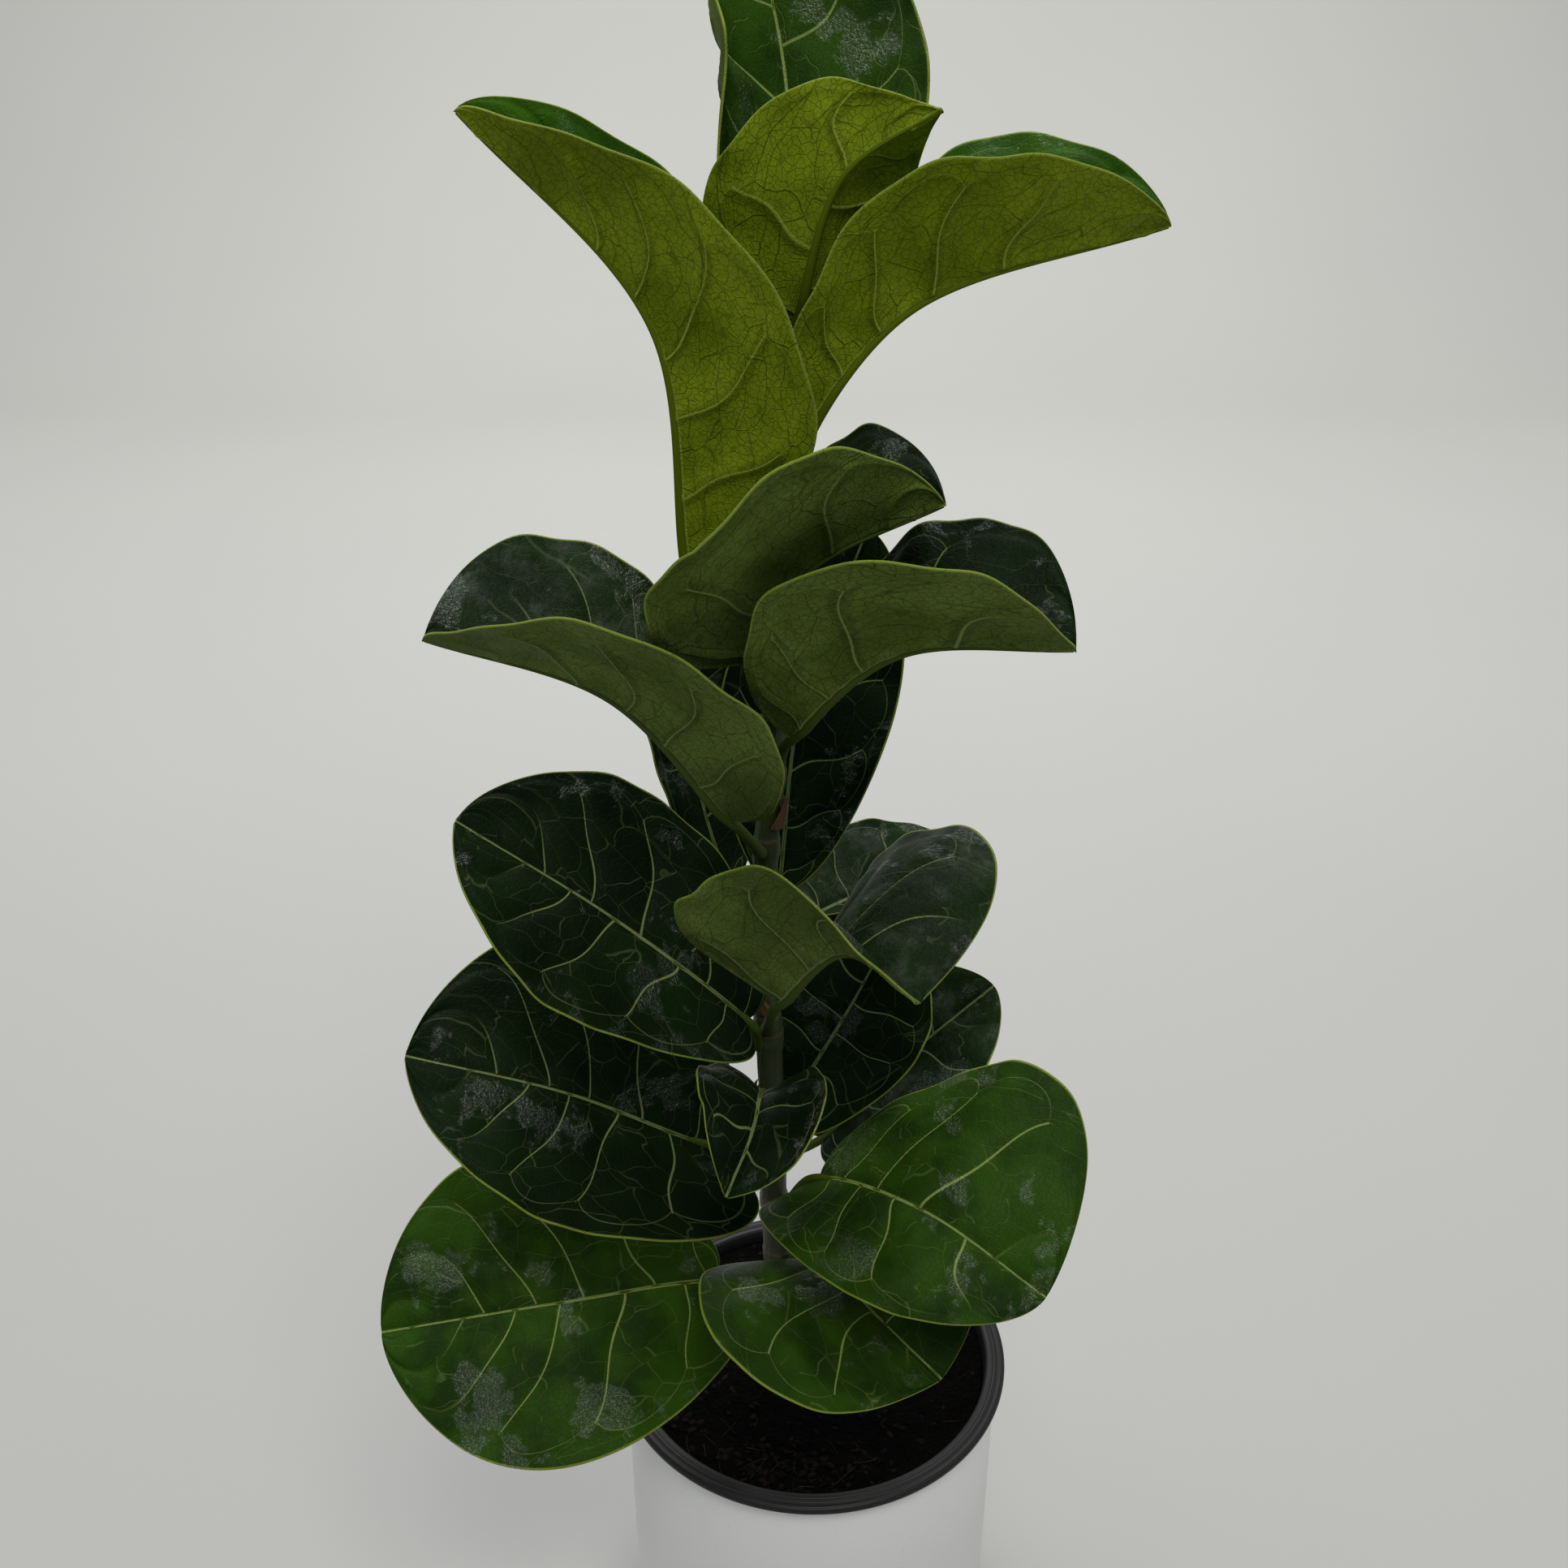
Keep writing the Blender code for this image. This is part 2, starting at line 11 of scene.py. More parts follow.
import bmesh
import bpy
import numpy as np
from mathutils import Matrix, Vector


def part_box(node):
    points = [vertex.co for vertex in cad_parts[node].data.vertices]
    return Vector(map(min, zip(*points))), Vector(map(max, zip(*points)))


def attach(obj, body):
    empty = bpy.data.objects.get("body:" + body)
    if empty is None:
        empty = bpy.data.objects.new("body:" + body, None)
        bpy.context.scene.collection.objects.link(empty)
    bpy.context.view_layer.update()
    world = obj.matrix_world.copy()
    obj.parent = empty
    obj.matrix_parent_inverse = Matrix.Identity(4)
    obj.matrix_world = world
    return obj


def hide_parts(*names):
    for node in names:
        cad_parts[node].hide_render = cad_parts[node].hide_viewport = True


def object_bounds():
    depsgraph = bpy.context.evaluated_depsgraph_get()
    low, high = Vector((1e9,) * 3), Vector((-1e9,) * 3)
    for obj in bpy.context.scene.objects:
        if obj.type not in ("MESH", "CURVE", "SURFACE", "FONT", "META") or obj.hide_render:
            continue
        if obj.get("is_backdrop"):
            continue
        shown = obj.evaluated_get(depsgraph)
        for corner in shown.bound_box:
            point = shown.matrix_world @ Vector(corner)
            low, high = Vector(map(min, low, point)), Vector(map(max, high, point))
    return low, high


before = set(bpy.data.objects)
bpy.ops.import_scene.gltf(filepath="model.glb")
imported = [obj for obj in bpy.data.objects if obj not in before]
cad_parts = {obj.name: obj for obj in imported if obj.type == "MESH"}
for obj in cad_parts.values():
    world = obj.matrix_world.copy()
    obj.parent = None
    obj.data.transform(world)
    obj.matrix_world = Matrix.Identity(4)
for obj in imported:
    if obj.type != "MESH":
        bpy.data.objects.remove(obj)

CAD_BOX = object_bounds()
MM = 0.001
print(
    "nodes:",
    len(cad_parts),
    "box:",
    [tuple(round(v, 3) for v in corner) for corner in CAD_BOX],
)

# %% [markdown]
# ## Camera, floor and light
# The plant is seen from a little above its top leaves, looking down towards the pot, as a person
# looks at a plant on the floor. The room is only a plain pale sweep: a floor that curves up into a
# wall. Three soft lamps and a pale sky light it: one overhead, a weak one in front that glints on
# the wet leaves, and a long one that only washes the wall.

# %% Camera
scene = bpy.context.scene
scene.view_settings.view_transform = "Standard"
CAMERA_PLACE = (-0.014, -0.605, 0.810)
LOOK_DOWN = 26.0
bpy.ops.object.camera_add(location=CAMERA_PLACE, rotation=(math.radians(90 - LOOK_DOWN), 0, 0))
camera = bpy.context.object
camera.data.lens = 36
camera.data.sensor_width = 36
scene.camera = camera
print("camera:", CAMERA_PLACE, "looking down", LOOK_DOWN, "degrees")


# %% Colours and nodes
def colour(hex_value):
    """An sRGB hex value as linear red, green, blue and alpha."""
    parts = [int(hex_value[i : i + 2], 16) / 255 for i in (1, 3, 5)]
    return (*[c / 12.92 if c <= 0.04045 else ((c + 0.055) / 1.055) ** 2.4 for c in parts], 1)


def add_node(tree, kind, inputs=(), **settings):
    """Adds a node. Inputs, by name or in order, are values or nodes and sockets to link."""
    made = tree.nodes.new("ShaderNode" + kind)
    for name, value in settings.items():
        setattr(made, name, value)
    for key, value in inputs.items() if isinstance(inputs, dict) else enumerate(inputs):
        if isinstance(value, bpy.types.Node):
            value = next(socket for socket in value.outputs if socket.enabled)
        if isinstance(value, bpy.types.NodeSocket):
            tree.links.new(value, made.inputs[key])
        else:
            made.inputs[key].default_value = value
    return made


def new_finish(name):
    """An empty node material and its node tree."""
    made = bpy.data.materials.new(name)
    made.use_nodes = True
    made.node_tree.nodes.clear()
    return made, made.node_tree


# %% Settings that many nodes share, and coats of colour
SMOOTH = {"interpolation_type": "SMOOTHSTEP"}
TIMES = {"operation": "MULTIPLY"}
PLUS = {"operation": "ADD"}
BLEND = {"data_type": "RGBA"}


def painted(tree, ground, coats):
    """Colours laid over a ground in turn. A coat is its mask, its strength and its hex value."""
    for mask, strength, tint in coats:
        share = add_node(tree, "Math", [mask, strength], **TIMES)
        ground = add_node(tree, "Mix", {0: share, 6: ground, 7: colour(tint)}, **BLEND)
    return ground


print("red of mid grey in linear light:", round(colour("#808080")[0], 3))


# %% Floor, sky and lamps
def sweep_finish():
    """Matt paper of a studio sweep: pale grey, with a faint uneven tone."""
    made, tree = new_finish("matt_grey_paper")
    place = add_node(tree, "TexCoord").outputs["Object"]
    cloud = add_node(tree, "TexNoise", {"Vector": place, "Scale": 1.3})
    tone = painted(tree, colour("#acacaa"), [(cloud, 1.0, "#a7a7a6")])
    shader = add_node(tree, "BsdfPrincipled", {"Base Color": tone, "Roughness": 0.9})
    add_node(tree, "OutputMaterial", [shader])
    return made


def make_sweep():
    """A floor whose back edge is turned up round a quarter circle and drawn up into a wall."""
    bpy.ops.object.select_all(action="DESELECT")
    bpy.ops.mesh.primitive_plane_add(size=1, location=(0, 0, 0))
    made = bpy.context.object
    made.name = "studio_sweep"
    bpy.ops.object.mode_set(mode="EDIT")
    bpy.ops.transform.resize(value=(16, 9, 1))
    bpy.ops.transform.translate(value=(0, -1.5, 0))
    bpy.ops.mesh.select_all(action="DESELECT")
    bpy.ops.object.mode_set(mode="OBJECT")
    for edge in made.data.edges:
        edge.select = all(made.data.vertices[i].co.y > 0 for i in edge.vertices)
    bpy.ops.object.mode_set(mode="EDIT")
    bend, turns = 1.2, 12
    for step in range(turns):
        low, high = (math.radians(90 * k / turns) for k in (step, step + 1))
        rise = bend * (math.cos(low) - math.cos(high))
        bpy.ops.mesh.extrude_region_move(
            TRANSFORM_OT_translate={"value": (0, bend * (math.sin(high) - math.sin(low)), rise)}
        )
    bpy.ops.mesh.extrude_region_move(TRANSFORM_OT_translate={"value": (0, 0, 3)})
    bpy.ops.object.mode_set(mode="OBJECT")
    bpy.ops.object.shade_smooth()
    bpy.ops.object.transform_apply(location=True, rotation=True, scale=True)
    made.data.materials.append(sweep_finish())
    made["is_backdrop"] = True


def soft_lamp(name, place, target, size, watts, tint):
    bpy.ops.object.light_add(type="AREA", location=place)
    lamp = bpy.context.object
    lamp.name = name
    lamp.data.shape = "RECTANGLE"
    lamp.data.size, lamp.data.size_y = size
    lamp.data.energy = watts
    lamp.data.color = colour(tint)[:3]
    lamp.rotation_euler = (Vector(target) - Vector(place)).to_track_quat("-Z", "Y").to_euler()


make_sweep()
world = bpy.data.worlds.new("pale_sky")
scene.world = world
world.use_nodes = True
world.node_tree.nodes["Background"].inputs[0].default_value = colour("#e9ecee")
world.node_tree.nodes["Background"].inputs[1].default_value = 0.55
soft_lamp("overhead_softbox", (-0.2, 0.7, 2.6), (0, 0.2, 0.3), (1.5, 1.2), 29, "#ffffff")
soft_lamp("front_fill", (0.3, -1.2, 2.4), (0, 0, 0.5), (1.0, 0.7), 22, "#fffdf8")
soft_lamp("wall_wash", (0, 2.0, 3.2), (0, 4.1, 0.7), (5.0, 0.6), 145, "#fbfbf4")

# %% [markdown]
# ## The leaves
# A fiddle leaf is a thick, waxy blade on a short stalk. Its midrib stands out below and lies in a
# groove above, the side veins sweep forward and join in loops near the margin, and the blade bulges
# between them. No primitive gives this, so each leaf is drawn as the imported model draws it: a
# midrib curve, and two half blades that fold and curl away from it. The same maths at about 1.5 mm
# leaves room for the real relief.

# %% The leaf table
# A leaf's route is its midrib: foot on the stem, base, middle and tip of the blade, in millimetres.
# Pairs are its left and right half, seen from above with the tip ahead. Fold and curl are degrees
# at the base, middle and tip. facing is the way the upper side looks, at the base and at the tip.
NO_CURL = ((0, 0, 0), (0, 0, 0))
PLAIN_ENDS = (0.58, 0.58)
Leaf = namedtuple(
    "Leaf",
    "route facing half_width swell lobe fold round_off curl",
    defaults=[PLAIN_ENDS, NO_CURL],
)

LEAVES = {
    "leaf_01": Leaf(
        route=((-14, -4, 228), (-48, -28, 261), (-117, -62, 280), (-197, -74, 274)),
        facing=((0.1, -0.6, 0.75), (0.1, -0.65, 0.8)),
        half_width=(70, 70), swell=(1.1, 1.5), round_off=(0.58, 0.52), lobe=(1.3, 1.3),
        fold=((6, 6, 6), (6, 6, 6))),
    "leaf_02": Leaf(
        route=((-12, -6, 252), (3, -34, 281), (27, -76, 287), (55, -102, 275)),
        facing=((-0.1, -0.5, 1), (0, -0.5, 0.9)),
        half_width=(66, 74), swell=(1, 0.8), lobe=(0.6, 0.9),
        fold=((10, 10, 10), (26, 26, 26))),
    "leaf_03": Leaf(
        route=((-14, -4, 286), (2, -25, 322), (48, -74, 344), (97, -104, 324)),
        facing=((-0.1, -0.6, 1), (-0.1, -0.7, 0.9)),
        half_width=(82, 48), swell=(1.5, 0.95), lobe=(0.4, 2.6),
        fold=((0, 0, 0), (6, 6, 6))),
    "leaf_04": Leaf(
        route=((-14, 6, 310), (6, 38, 295), (51, 60, 331), (94, 75, 363)),
        facing=((-0.3, -0.7, 0.8), (-0.2, -0.8, 0.8)),
        half_width=(44, 44), swell=(1.1, 1.1), lobe=(1.2, 1.6),
        fold=((25, 25, 25), (25, 25, 25))),
    "leaf_05": Leaf(
        route=((-22, -4, 316), (-52, -26, 343), (-108, -52, 391), (-172, -66, 421)),
        facing=((0.2, -0.55, 0.8), (0.2, -0.5, 0.85)),
        half_width=(60, 75), swell=(1, 1.15), lobe=(2.9, 2),
        fold=((8, 8, 8), (6, 6, 6))),
    "leaf_06": Leaf(
        route=((-18, 6, 322), (-6, 18, 341), (19, 28, 384), (40, 34, 428)),
        facing=((-0.3, -1, 0.7), (-0.2, -0.8, 0.8)),
        half_width=(47, 44), swell=(1.1, 1.1), lobe=(0.8, 2.2),
        fold=((20, 20, 20), (15, 15, 15))),
    "leaf_07": Leaf(
        route=((-21, -6, 334), (-24, -35, 379), (-28, -78, 388), (-38, -98, 373)),
        facing=((0, -0.5, 1), (0, -0.8, 0.6)),
        half_width=(32, 31), swell=(0.75, 0.75), round_off=(0.7, 0.9), lobe=(1.2, 1.2),
        fold=((20, 20, 20), (28, 28, 28)), curl=((10, 10, 10), (0, 0, 0))),
    "leaf_08": Leaf(
        route=((-26, -5, 383), (-30, -26, 411), (-85, -33, 467), (-147, -40, 518)),
        facing=((0.2, -0.6, 0.8), (0.3, -0.5, 0.9)),
        half_width=(54, 58), swell=(1.3, 1.15), lobe=(2, 0.8),
        fold=((8, 8, 8), (8, 8, 8))),
    "leaf_09": Leaf(
        route=((-22, -6, 392), (-16, -42, 431), (11, -76, 478), (37, -108, 476)),
        facing=((-0.4, 0.1, 1), (0, -0.1, 1)),
        half_width=(84, 60), swell=(1, 0.6), round_off=(0.58, 0.6), lobe=(0.3, 0.1),
        fold=((12, 12, 12), (70, 70, 45))),
    "leaf_10": Leaf(
        route=((-22, 6, 430), (-7, 48, 417), (31, 92, 411), (81, 118, 415)),
        facing=((-0.2, -0.6, 0.9), (-0.2, -0.6, 0.9)),
        half_width=(36, 36), swell=(1.1, 1.1), lobe=(0.4, 0.4),
        fold=((15, 15, 15), (15, 15, 15))),
    "leaf_11": Leaf(
        route=((-22, 6, 446), (-17, 18, 452), (-7, 48, 527), (23, 70, 607)),
        facing=((-0.1, -1, 0.5), (0, -1, 0.4)),
        half_width=(38, 44), swell=(1.1, 1.1), lobe=(0.3, 0.3),
        fold=((20, 20, 20), (20, 20, 20))),
    "leaf_12": Leaf(
        route=((-26, 6, 450), (-39, 26, 453), (-57, 56, 507), (-57, 78, 590)),
        facing=((0.8, -0.7, 0.3), (0.6, -0.8, 0.3)),
        half_width=(26, 42), swell=(1.1, 1.1), lobe=(0.3, 0.3),
        fold=((5, 5, 5), (10, 10, 10))),
    "leaf_13": Leaf(
        route=((-24, -6, 484), (-36, -28, 512), (-81, -46, 575), (-151, -46, 599)),
        facing=((0.7, 0.1, 0.7), (0.15, 0, 1)),
        half_width=(60, 62), swell=(1, 1.8), round_off=(0.58, 0.42), lobe=(0.3, 0.5),
        fold=((45, 38, 30), (35, 30, 40)), curl=((10, 10, 10), (10, 10, 10))),
    "leaf_14": Leaf(
        route=((-17, -5, 517), (-11, -46, 558), (28, -78, 606), (89, -88, 611)),
        facing=((-0.7, 0.2, 0.6), (-0.1, 0, 1)),
        half_width=(56, 56), swell=(1.9, 1.25), round_off=(0.42, 0.62), lobe=(0.5, 0.1),
        fold=((25, 28, 40), (62, 50, 32)), curl=((10, 10, 10), (10, 10, 10))),
    "leaf_15": Leaf(
        route=((-18, -8, 548), (-28, -42, 588), (-4, -64, 634), (42, -72, 659)),
        facing=((-0.7, 0.4, 0.5), (-0.3, 0.1, 0.95)),
        half_width=(56, 61), swell=(2.6, 0.95), round_off=(0.5, 0.55), lobe=(1, 0.1),
        fold=((38, 42, 20), (26, 22, 60)), curl=((10, 10, 10), (5, 5, 5))),
    "leaf_16": Leaf(
        route=((-18, -4, 560), (-47, -4, 597), (-61, -20, 710), (-125, -28, 783)),
        facing=((1, 0.1, 0.3), (0.5, 0, 0.85)),
        half_width=(52, 45), swell=(0.85, 1.1), lobe=(0.3, 0.3),
        fold=((62, 58, 38), (0, 30, 72)), curl=((20, 15, 10), (0, 7.5, 15))),
    "leaf_17": Leaf(
        route=((-10, -4, 640), (-11, -14, 659), (29, -24, 716), (119, -36, 747)),
        facing=((-0.9, 0.1, 0.4), (-0.45, 0, 0.9)),
        half_width=(57, 48), swell=(1.2, 1.6), lobe=(0.3, 0.3),
        fold=((0, 28, 60), (60, 58, 38)), curl=((10, 10, 10), (10, 15, 20))),
    "leaf_18": Leaf(
        route=((-12, 6, 700), (-13, 20, 722), (-13, 58, 786), (-27, 85, 853)),
        facing=((0, -1, 0.15), (0, -1, 0.3)),
        half_width=(61, 56), swell=(1, 1), lobe=(0.3, 0.3),
        fold=((15, 20, 20), (5, 5, 5)), curl=((95, 95, 95), (20, 20, 20))),
    "leaf_19": Leaf(
        route=((-12, -4, 700), (-9, -12, 711), (6, -30, 762), (38, -42, 784)),
        facing=((-0.1, 1, 0.4), (-0.1, 0.9, 0.5)),
        half_width=(40, 44), swell=(0.95, 0.62), round_off=(0.75, 0.95), lobe=(0.2, 0.2),
        fold=((5, 5, 50), (22, 28, 26)), curl=((0, 0, 0), (8, 8, 8))),
}
YOUNG = ("leaf_16", "leaf_17", "leaf_19")
print("leaves in the table:", len(LEAVES), "of them young:", len(YOUNG))


# %% The midrib and the half blades
CURVE_STEPS = 40


def unit(vectors):
    return vectors / np.maximum(np.linalg.norm(vectors, axis=-1, keepdims=True), 1e-12)


def smooth_curve(knots):
    """Points of a curve through the knots (centripetal Catmull-Rom), and their run lengths."""
    knots = np.asarray(knots, float)
    ends = np.vstack([2 * knots[0] - knots[1], knots, 2 * knots[-1] - knots[-2]])
    t = np.linspace(0, 1, CURVE_STEPS + 1)[:, None]
    pieces = []
    for p0, p1, p2, p3 in zip(ends, ends[1:], ends[2:], ends[3:]):
        d0, d1, d2 = (np.sqrt(np.linalg.norm(b - a)) for a, b in ((p0, p1), (p1, p2), (p2, p3)))
        start = (p2 - p1) + d1 * ((p1 - p0) / d0 - (p2 - p0) / (d0 + d1))
        finish = (p2 - p1) + d1 * ((p3 - p2) / d2 - (p3 - p1) / (d1 + d2))
        piece = (2 * t**3 - 3 * t**2 + 1) * p1 + (t**3 - 2 * t**2 + t) * start
        piece += (3 * t**2 - 2 * t**3) * p2 + (t**3 - t**2) * finish
        pieces.append(piece[1:] if pieces else piece)
    points = np.vstack(pieces)
    runs = np.r_[0, np.cumsum(np.linalg.norm(np.diff(points, axis=0), axis=1))]
    return points, runs


def read_curve(points, runs, at):
    return np.stack([np.interp(at, runs, points[:, axis]) for axis in range(3)], -1)


def midrib_frames(leaf, at):
    """Place, heading, upper side and right side at these runs along the route, foot to tip."""
    points, runs = smooth_curve(leaf.route)
    base, tip = runs[CURVE_STEPS], runs[-1]
    place = read_curve(points, runs, at)
    ahead = read_curve(points, runs, np.clip(at + 2, 0, tip))
    heading = unit(ahead - read_curve(points, runs, np.clip(at - 2, 0, tip)))
    share = np.clip((at - base) / (tip - base), 0, 1)[:, None]
    upper = unit(np.array(leaf.facing[0], float)) * (1 - share)
    upper = upper + unit(np.array(leaf.facing[1], float)) * share
    upper = unit(upper - (upper * heading).sum(1, keepdims=True) * heading)
    return place, heading, upper, np.cross(heading, upper)


def blade_width(leaf, side, stations):
    """Reach of one half from the midrib to the margin, rounded off at both ends."""
    reach = leaf.half_width[side]
    return reach * np.sin(np.pi * stations ** leaf.swell[side]) ** leaf.round_off[side]


LONG_WAVE = (1.6, 2.6)
SHORT_WAVE = (0.8, 6.1)


def half_blade(leaf, side, stations, frames, shares, seed):
    """Mid-surface of one half of the blade, from the midrib out, as stations by shares.

    The margin rises and falls in a long and a short wave, each of a height in mm and a count.
    """
    place, heading, upper, right = frames
    reach = leaf.half_width[side]
    width = blade_width(leaf, side, stations)
    fold = np.radians(np.interp(stations, (0, 0.5, 1), leaf.fold[side]))
    bend = np.radians(np.interp(stations, (0, 0.5, 1), leaf.curl[side]))
    bend = np.where(np.abs(bend) < 1e-4, 1e-4, bend) / reach
    wave = LONG_WAVE[0] * np.sin(2 * np.pi * LONG_WAVE[1] * stations + seed + 1.7 * side)
    wave = wave + SHORT_WAVE[0] * np.sin(2 * np.pi * SHORT_WAVE[1] * stations + 2.3 * seed)
    wave = wave * np.sqrt(np.sin(np.pi * stations))
    outward = right if side else -right
    half = []
    for share in shares:
        run = share * width
        along = (np.sin(fold + bend * run) - np.sin(fold)) / bend
        rise = (np.cos(fold) - np.cos(fold + bend * run)) / bend + wave * share**3
        back = leaf.lobe[side] * run * share * (1 - stations) ** 6
        half.append(
            place + along[:, None] * outward + rise[:, None] * upper - back[:, None] * heading
        )
    return np.stack(half, 1)


# %% [markdown]
# ### Veins
# The side veins are laid out once as plain numbers at each point of the blade: how many side veins
# lie behind it, how far apart they are, and how far it is from the looped vein near the margin. The
# relief here and the pale lines in the finish both read these numbers, so they always agree.

# %% Vein layout and relief
VEIN_SPACING = 27.0
BLADE_THICKNESS = 0.9
STATIONS = 150
COLUMNS = 42
SEED_STEP = 1.7
LEAF_NUMBERS = (
    "side_veins",
    "vein_spacing",
    "past_loop",
    "across",
    "margin",
    "toward_tip",
    "upper_side",
    "stalk",
)
print("points in a blade:", 2 * STATIONS * (2 * COLUMNS + 1))


def vein_layout(leaf, side, stations, shares, length, seed):
    """Side-vein count, their spacing in mm, and signed mm past the looped vein near the margin."""
    s, u = stations[:, None], shares[None, :]
    width = blade_width(leaf, side, stations)[:, None]
    sweep = (0.10 + 0.17 * s) * u**1.15 * np.clip(leaf.half_width[side] / 60, 0.5, 1.2)
    behind = s - sweep
    count = max(4.0, length / VEIN_SPACING)
    phase = count * behind + 0.22 * np.sin(7 * behind + seed) + 0.45 * side + 0.3
    phase = phase + 0.05 * np.sin(9 * u + 3 * phase + seed)
    spacing = np.full(phase.shape, length / count * 0.72)
    gap = phase - np.floor(phase)
    loop_at = 0.77 + 0.14 * np.sin(np.pi * gap) ** 0.7
    return phase, spacing, (u - loop_at) * width


def relief(phase, spacing, past_loop, across):
    """Height of the upper and of the under side above the smooth blade, in mm."""
    gap = phase - np.floor(phase)
    off_vein = np.minimum(gap, 1 - gap) * spacing
    inside = 1 / (1 + np.exp(past_loop / 1.5))
    bulge = 1.5 * np.sin(np.pi * gap) ** 0.8 * (1 - np.exp(-((across / 9) ** 2))) * inside
    side_vein = np.exp(-((off_vein / 1.5) ** 2)) * inside
    loop_vein = np.exp(-((past_loop / 1.3) ** 2))
    midrib = np.exp(-((across / 2.4) ** 2))
    above = bulge - 0.45 * side_vein - 0.25 * loop_vein - 0.9 * midrib
    below = bulge - 0.75 * side_vein - 0.35 * loop_vein - 0.8 * midrib
    return above, below


# %% Build one leaf
def blade_points(leaf, seed):
    """Upper and under grids of points in mm, with the numbers that the finish reads."""
    runs = smooth_curve(leaf.route)[1]
    base, tip = runs[CURVE_STEPS], runs[-1]
    turn = np.linspace(0, 1, STATIONS)
    stations = 0.0006 + 0.9988 * (0.45 * turn + 0.55 * (1 - np.cos(np.pi * turn)) / 2)
    shares = np.linspace(0, 1, COLUMNS + 1) ** 1.12
    frames = midrib_frames(leaf, base + stations * (tip - base))
    sheets, numbers = [], []
    for side in (0, 1):
        sheets.append(half_blade(leaf, side, stations, frames, shares, seed))
        layout = vein_layout(leaf, side, stations, shares, tip - base, seed)
        across = blade_width(leaf, side, stations)[:, None] * shares * (1 if side else -1)
        numbers.append(np.stack([*layout, across, 0 * across + shares], -1))
    sheet = np.concatenate([sheets[0][:, ::-1], sheets[1][:, 1:]], 1)
    number = np.concatenate([numbers[0][:, ::-1], numbers[1][:, 1:]], 1)
    normal = unit(np.cross(np.gradient(sheet, axis=1), frames[1][:, None, :]))
    above, below = relief(*np.moveaxis(number[..., :4], -1, 0))
    half = BLADE_THICKNESS / 2
    top = sheet + (above + half)[..., None] * normal
    under = sheet + (below - half)[..., None] * normal
    along = (stations * (tip - base))[:, None] + 0 * number[..., 0]
    return top, under, sheet, normal, number, along


def edge_loop(rows, columns):
    """Indices round the rim of a grid, in order."""
    grid = np.arange(rows * columns).reshape(rows, columns)
    return np.r_[grid[0, :-1], grid[:-1, -1], grid[-1, :0:-1], grid[:0:-1, 0]]


def grid_faces(rows, columns, start=0, flip=False):
    grid = np.arange(rows * columns).reshape(rows, columns) + start
    faces = np.stack([grid[:-1, :-1], grid[:-1, 1:], grid[1:, 1:], grid[1:, :-1]], -1)
    faces = faces.reshape(-1, 4)
    return faces[:, ::-1] if flip else faces


def ring_faces(rows, sides, start=0):
    """A closed body through rings of points: quads between the rings, and a cap on each end."""
    grid = np.arange(rows * sides).reshape(rows, sides) + start
    beside = np.roll(grid, -1, axis=1)
    quads = np.stack([grid[:-1], beside[:-1], beside[1:], grid[1:]], -1).reshape(-1, 4)
    return [*quads, grid[0, ::-1], grid[-1]]


STALK_SIDES = 16


def stalk_rings(leaf):
    """Petiole and midrib as one tapering rod: proud of the under side, out of sight above."""
    runs = smooth_curve(leaf.route)[1]
    base, tip = runs[CURVE_STEPS], runs[-1]
    at = np.r_[np.linspace(0, base, 16)[:-1], np.linspace(base, tip - 1, 70)]
    share = np.clip((at - base) / (tip - base), 0, 1)
    radius = np.interp(at, (0, 0.25 * base, base), (3.3, 2.5, 2.2)) * (1 - 0.8 * share**0.8)
    place, heading, upper, right = midrib_frames(leaf, at)
    sink = np.interp(at, (base - 8, base + 10), (0, 1)) * (radius * 0.8 + 0.75)
    angle = np.arange(STALK_SIDES) * 2 * np.pi / STALK_SIDES
    across = np.cos(angle)[None, :, None] * right[:, None, :]
    up = np.sin(angle)[None, :, None] * upper[:, None, :]
    middle = place - sink[:, None] * upper
    return middle[:, None, :] + radius[:, None, None] * (across + up)


def add_piece(name, points, faces, finish):
    """A mesh piece from points in mm, made smooth, with its normals facing out."""
    mesh = bpy.data.meshes.new(name)
    mesh.from_pydata((np.asarray(points) * MM).tolist(), [], [list(map(int, f)) for f in faces])
    mesh.validate()
    shaped = bmesh.new()
    shaped.from_mesh(mesh)
    bmesh.ops.recalc_face_normals(shaped, faces=shaped.faces)
    if shaped.calc_volume(signed=True) < 0:
        bmesh.ops.reverse_faces(shaped, faces=shaped.faces)
    shaped.to_mesh(mesh)
    shaped.free()
    mesh.shade_smooth()
    mesh.materials.append(finish)
    made = bpy.data.objects.new(name, mesh)
    scene.collection.objects.link(made)
    return made


def store(mesh, name, values):
    """A named number at each point of a mesh, for its finish to read."""
    values = np.asarray(values, np.float32)
    kind = "FLOAT_VECTOR" if values.ndim == 2 else "FLOAT"
    layer = mesh.attributes.new(name, kind, "POINT")
    layer.data.foreach_set("vector" if values.ndim == 2 else "value", values.ravel())


PATTERN_APART = 400


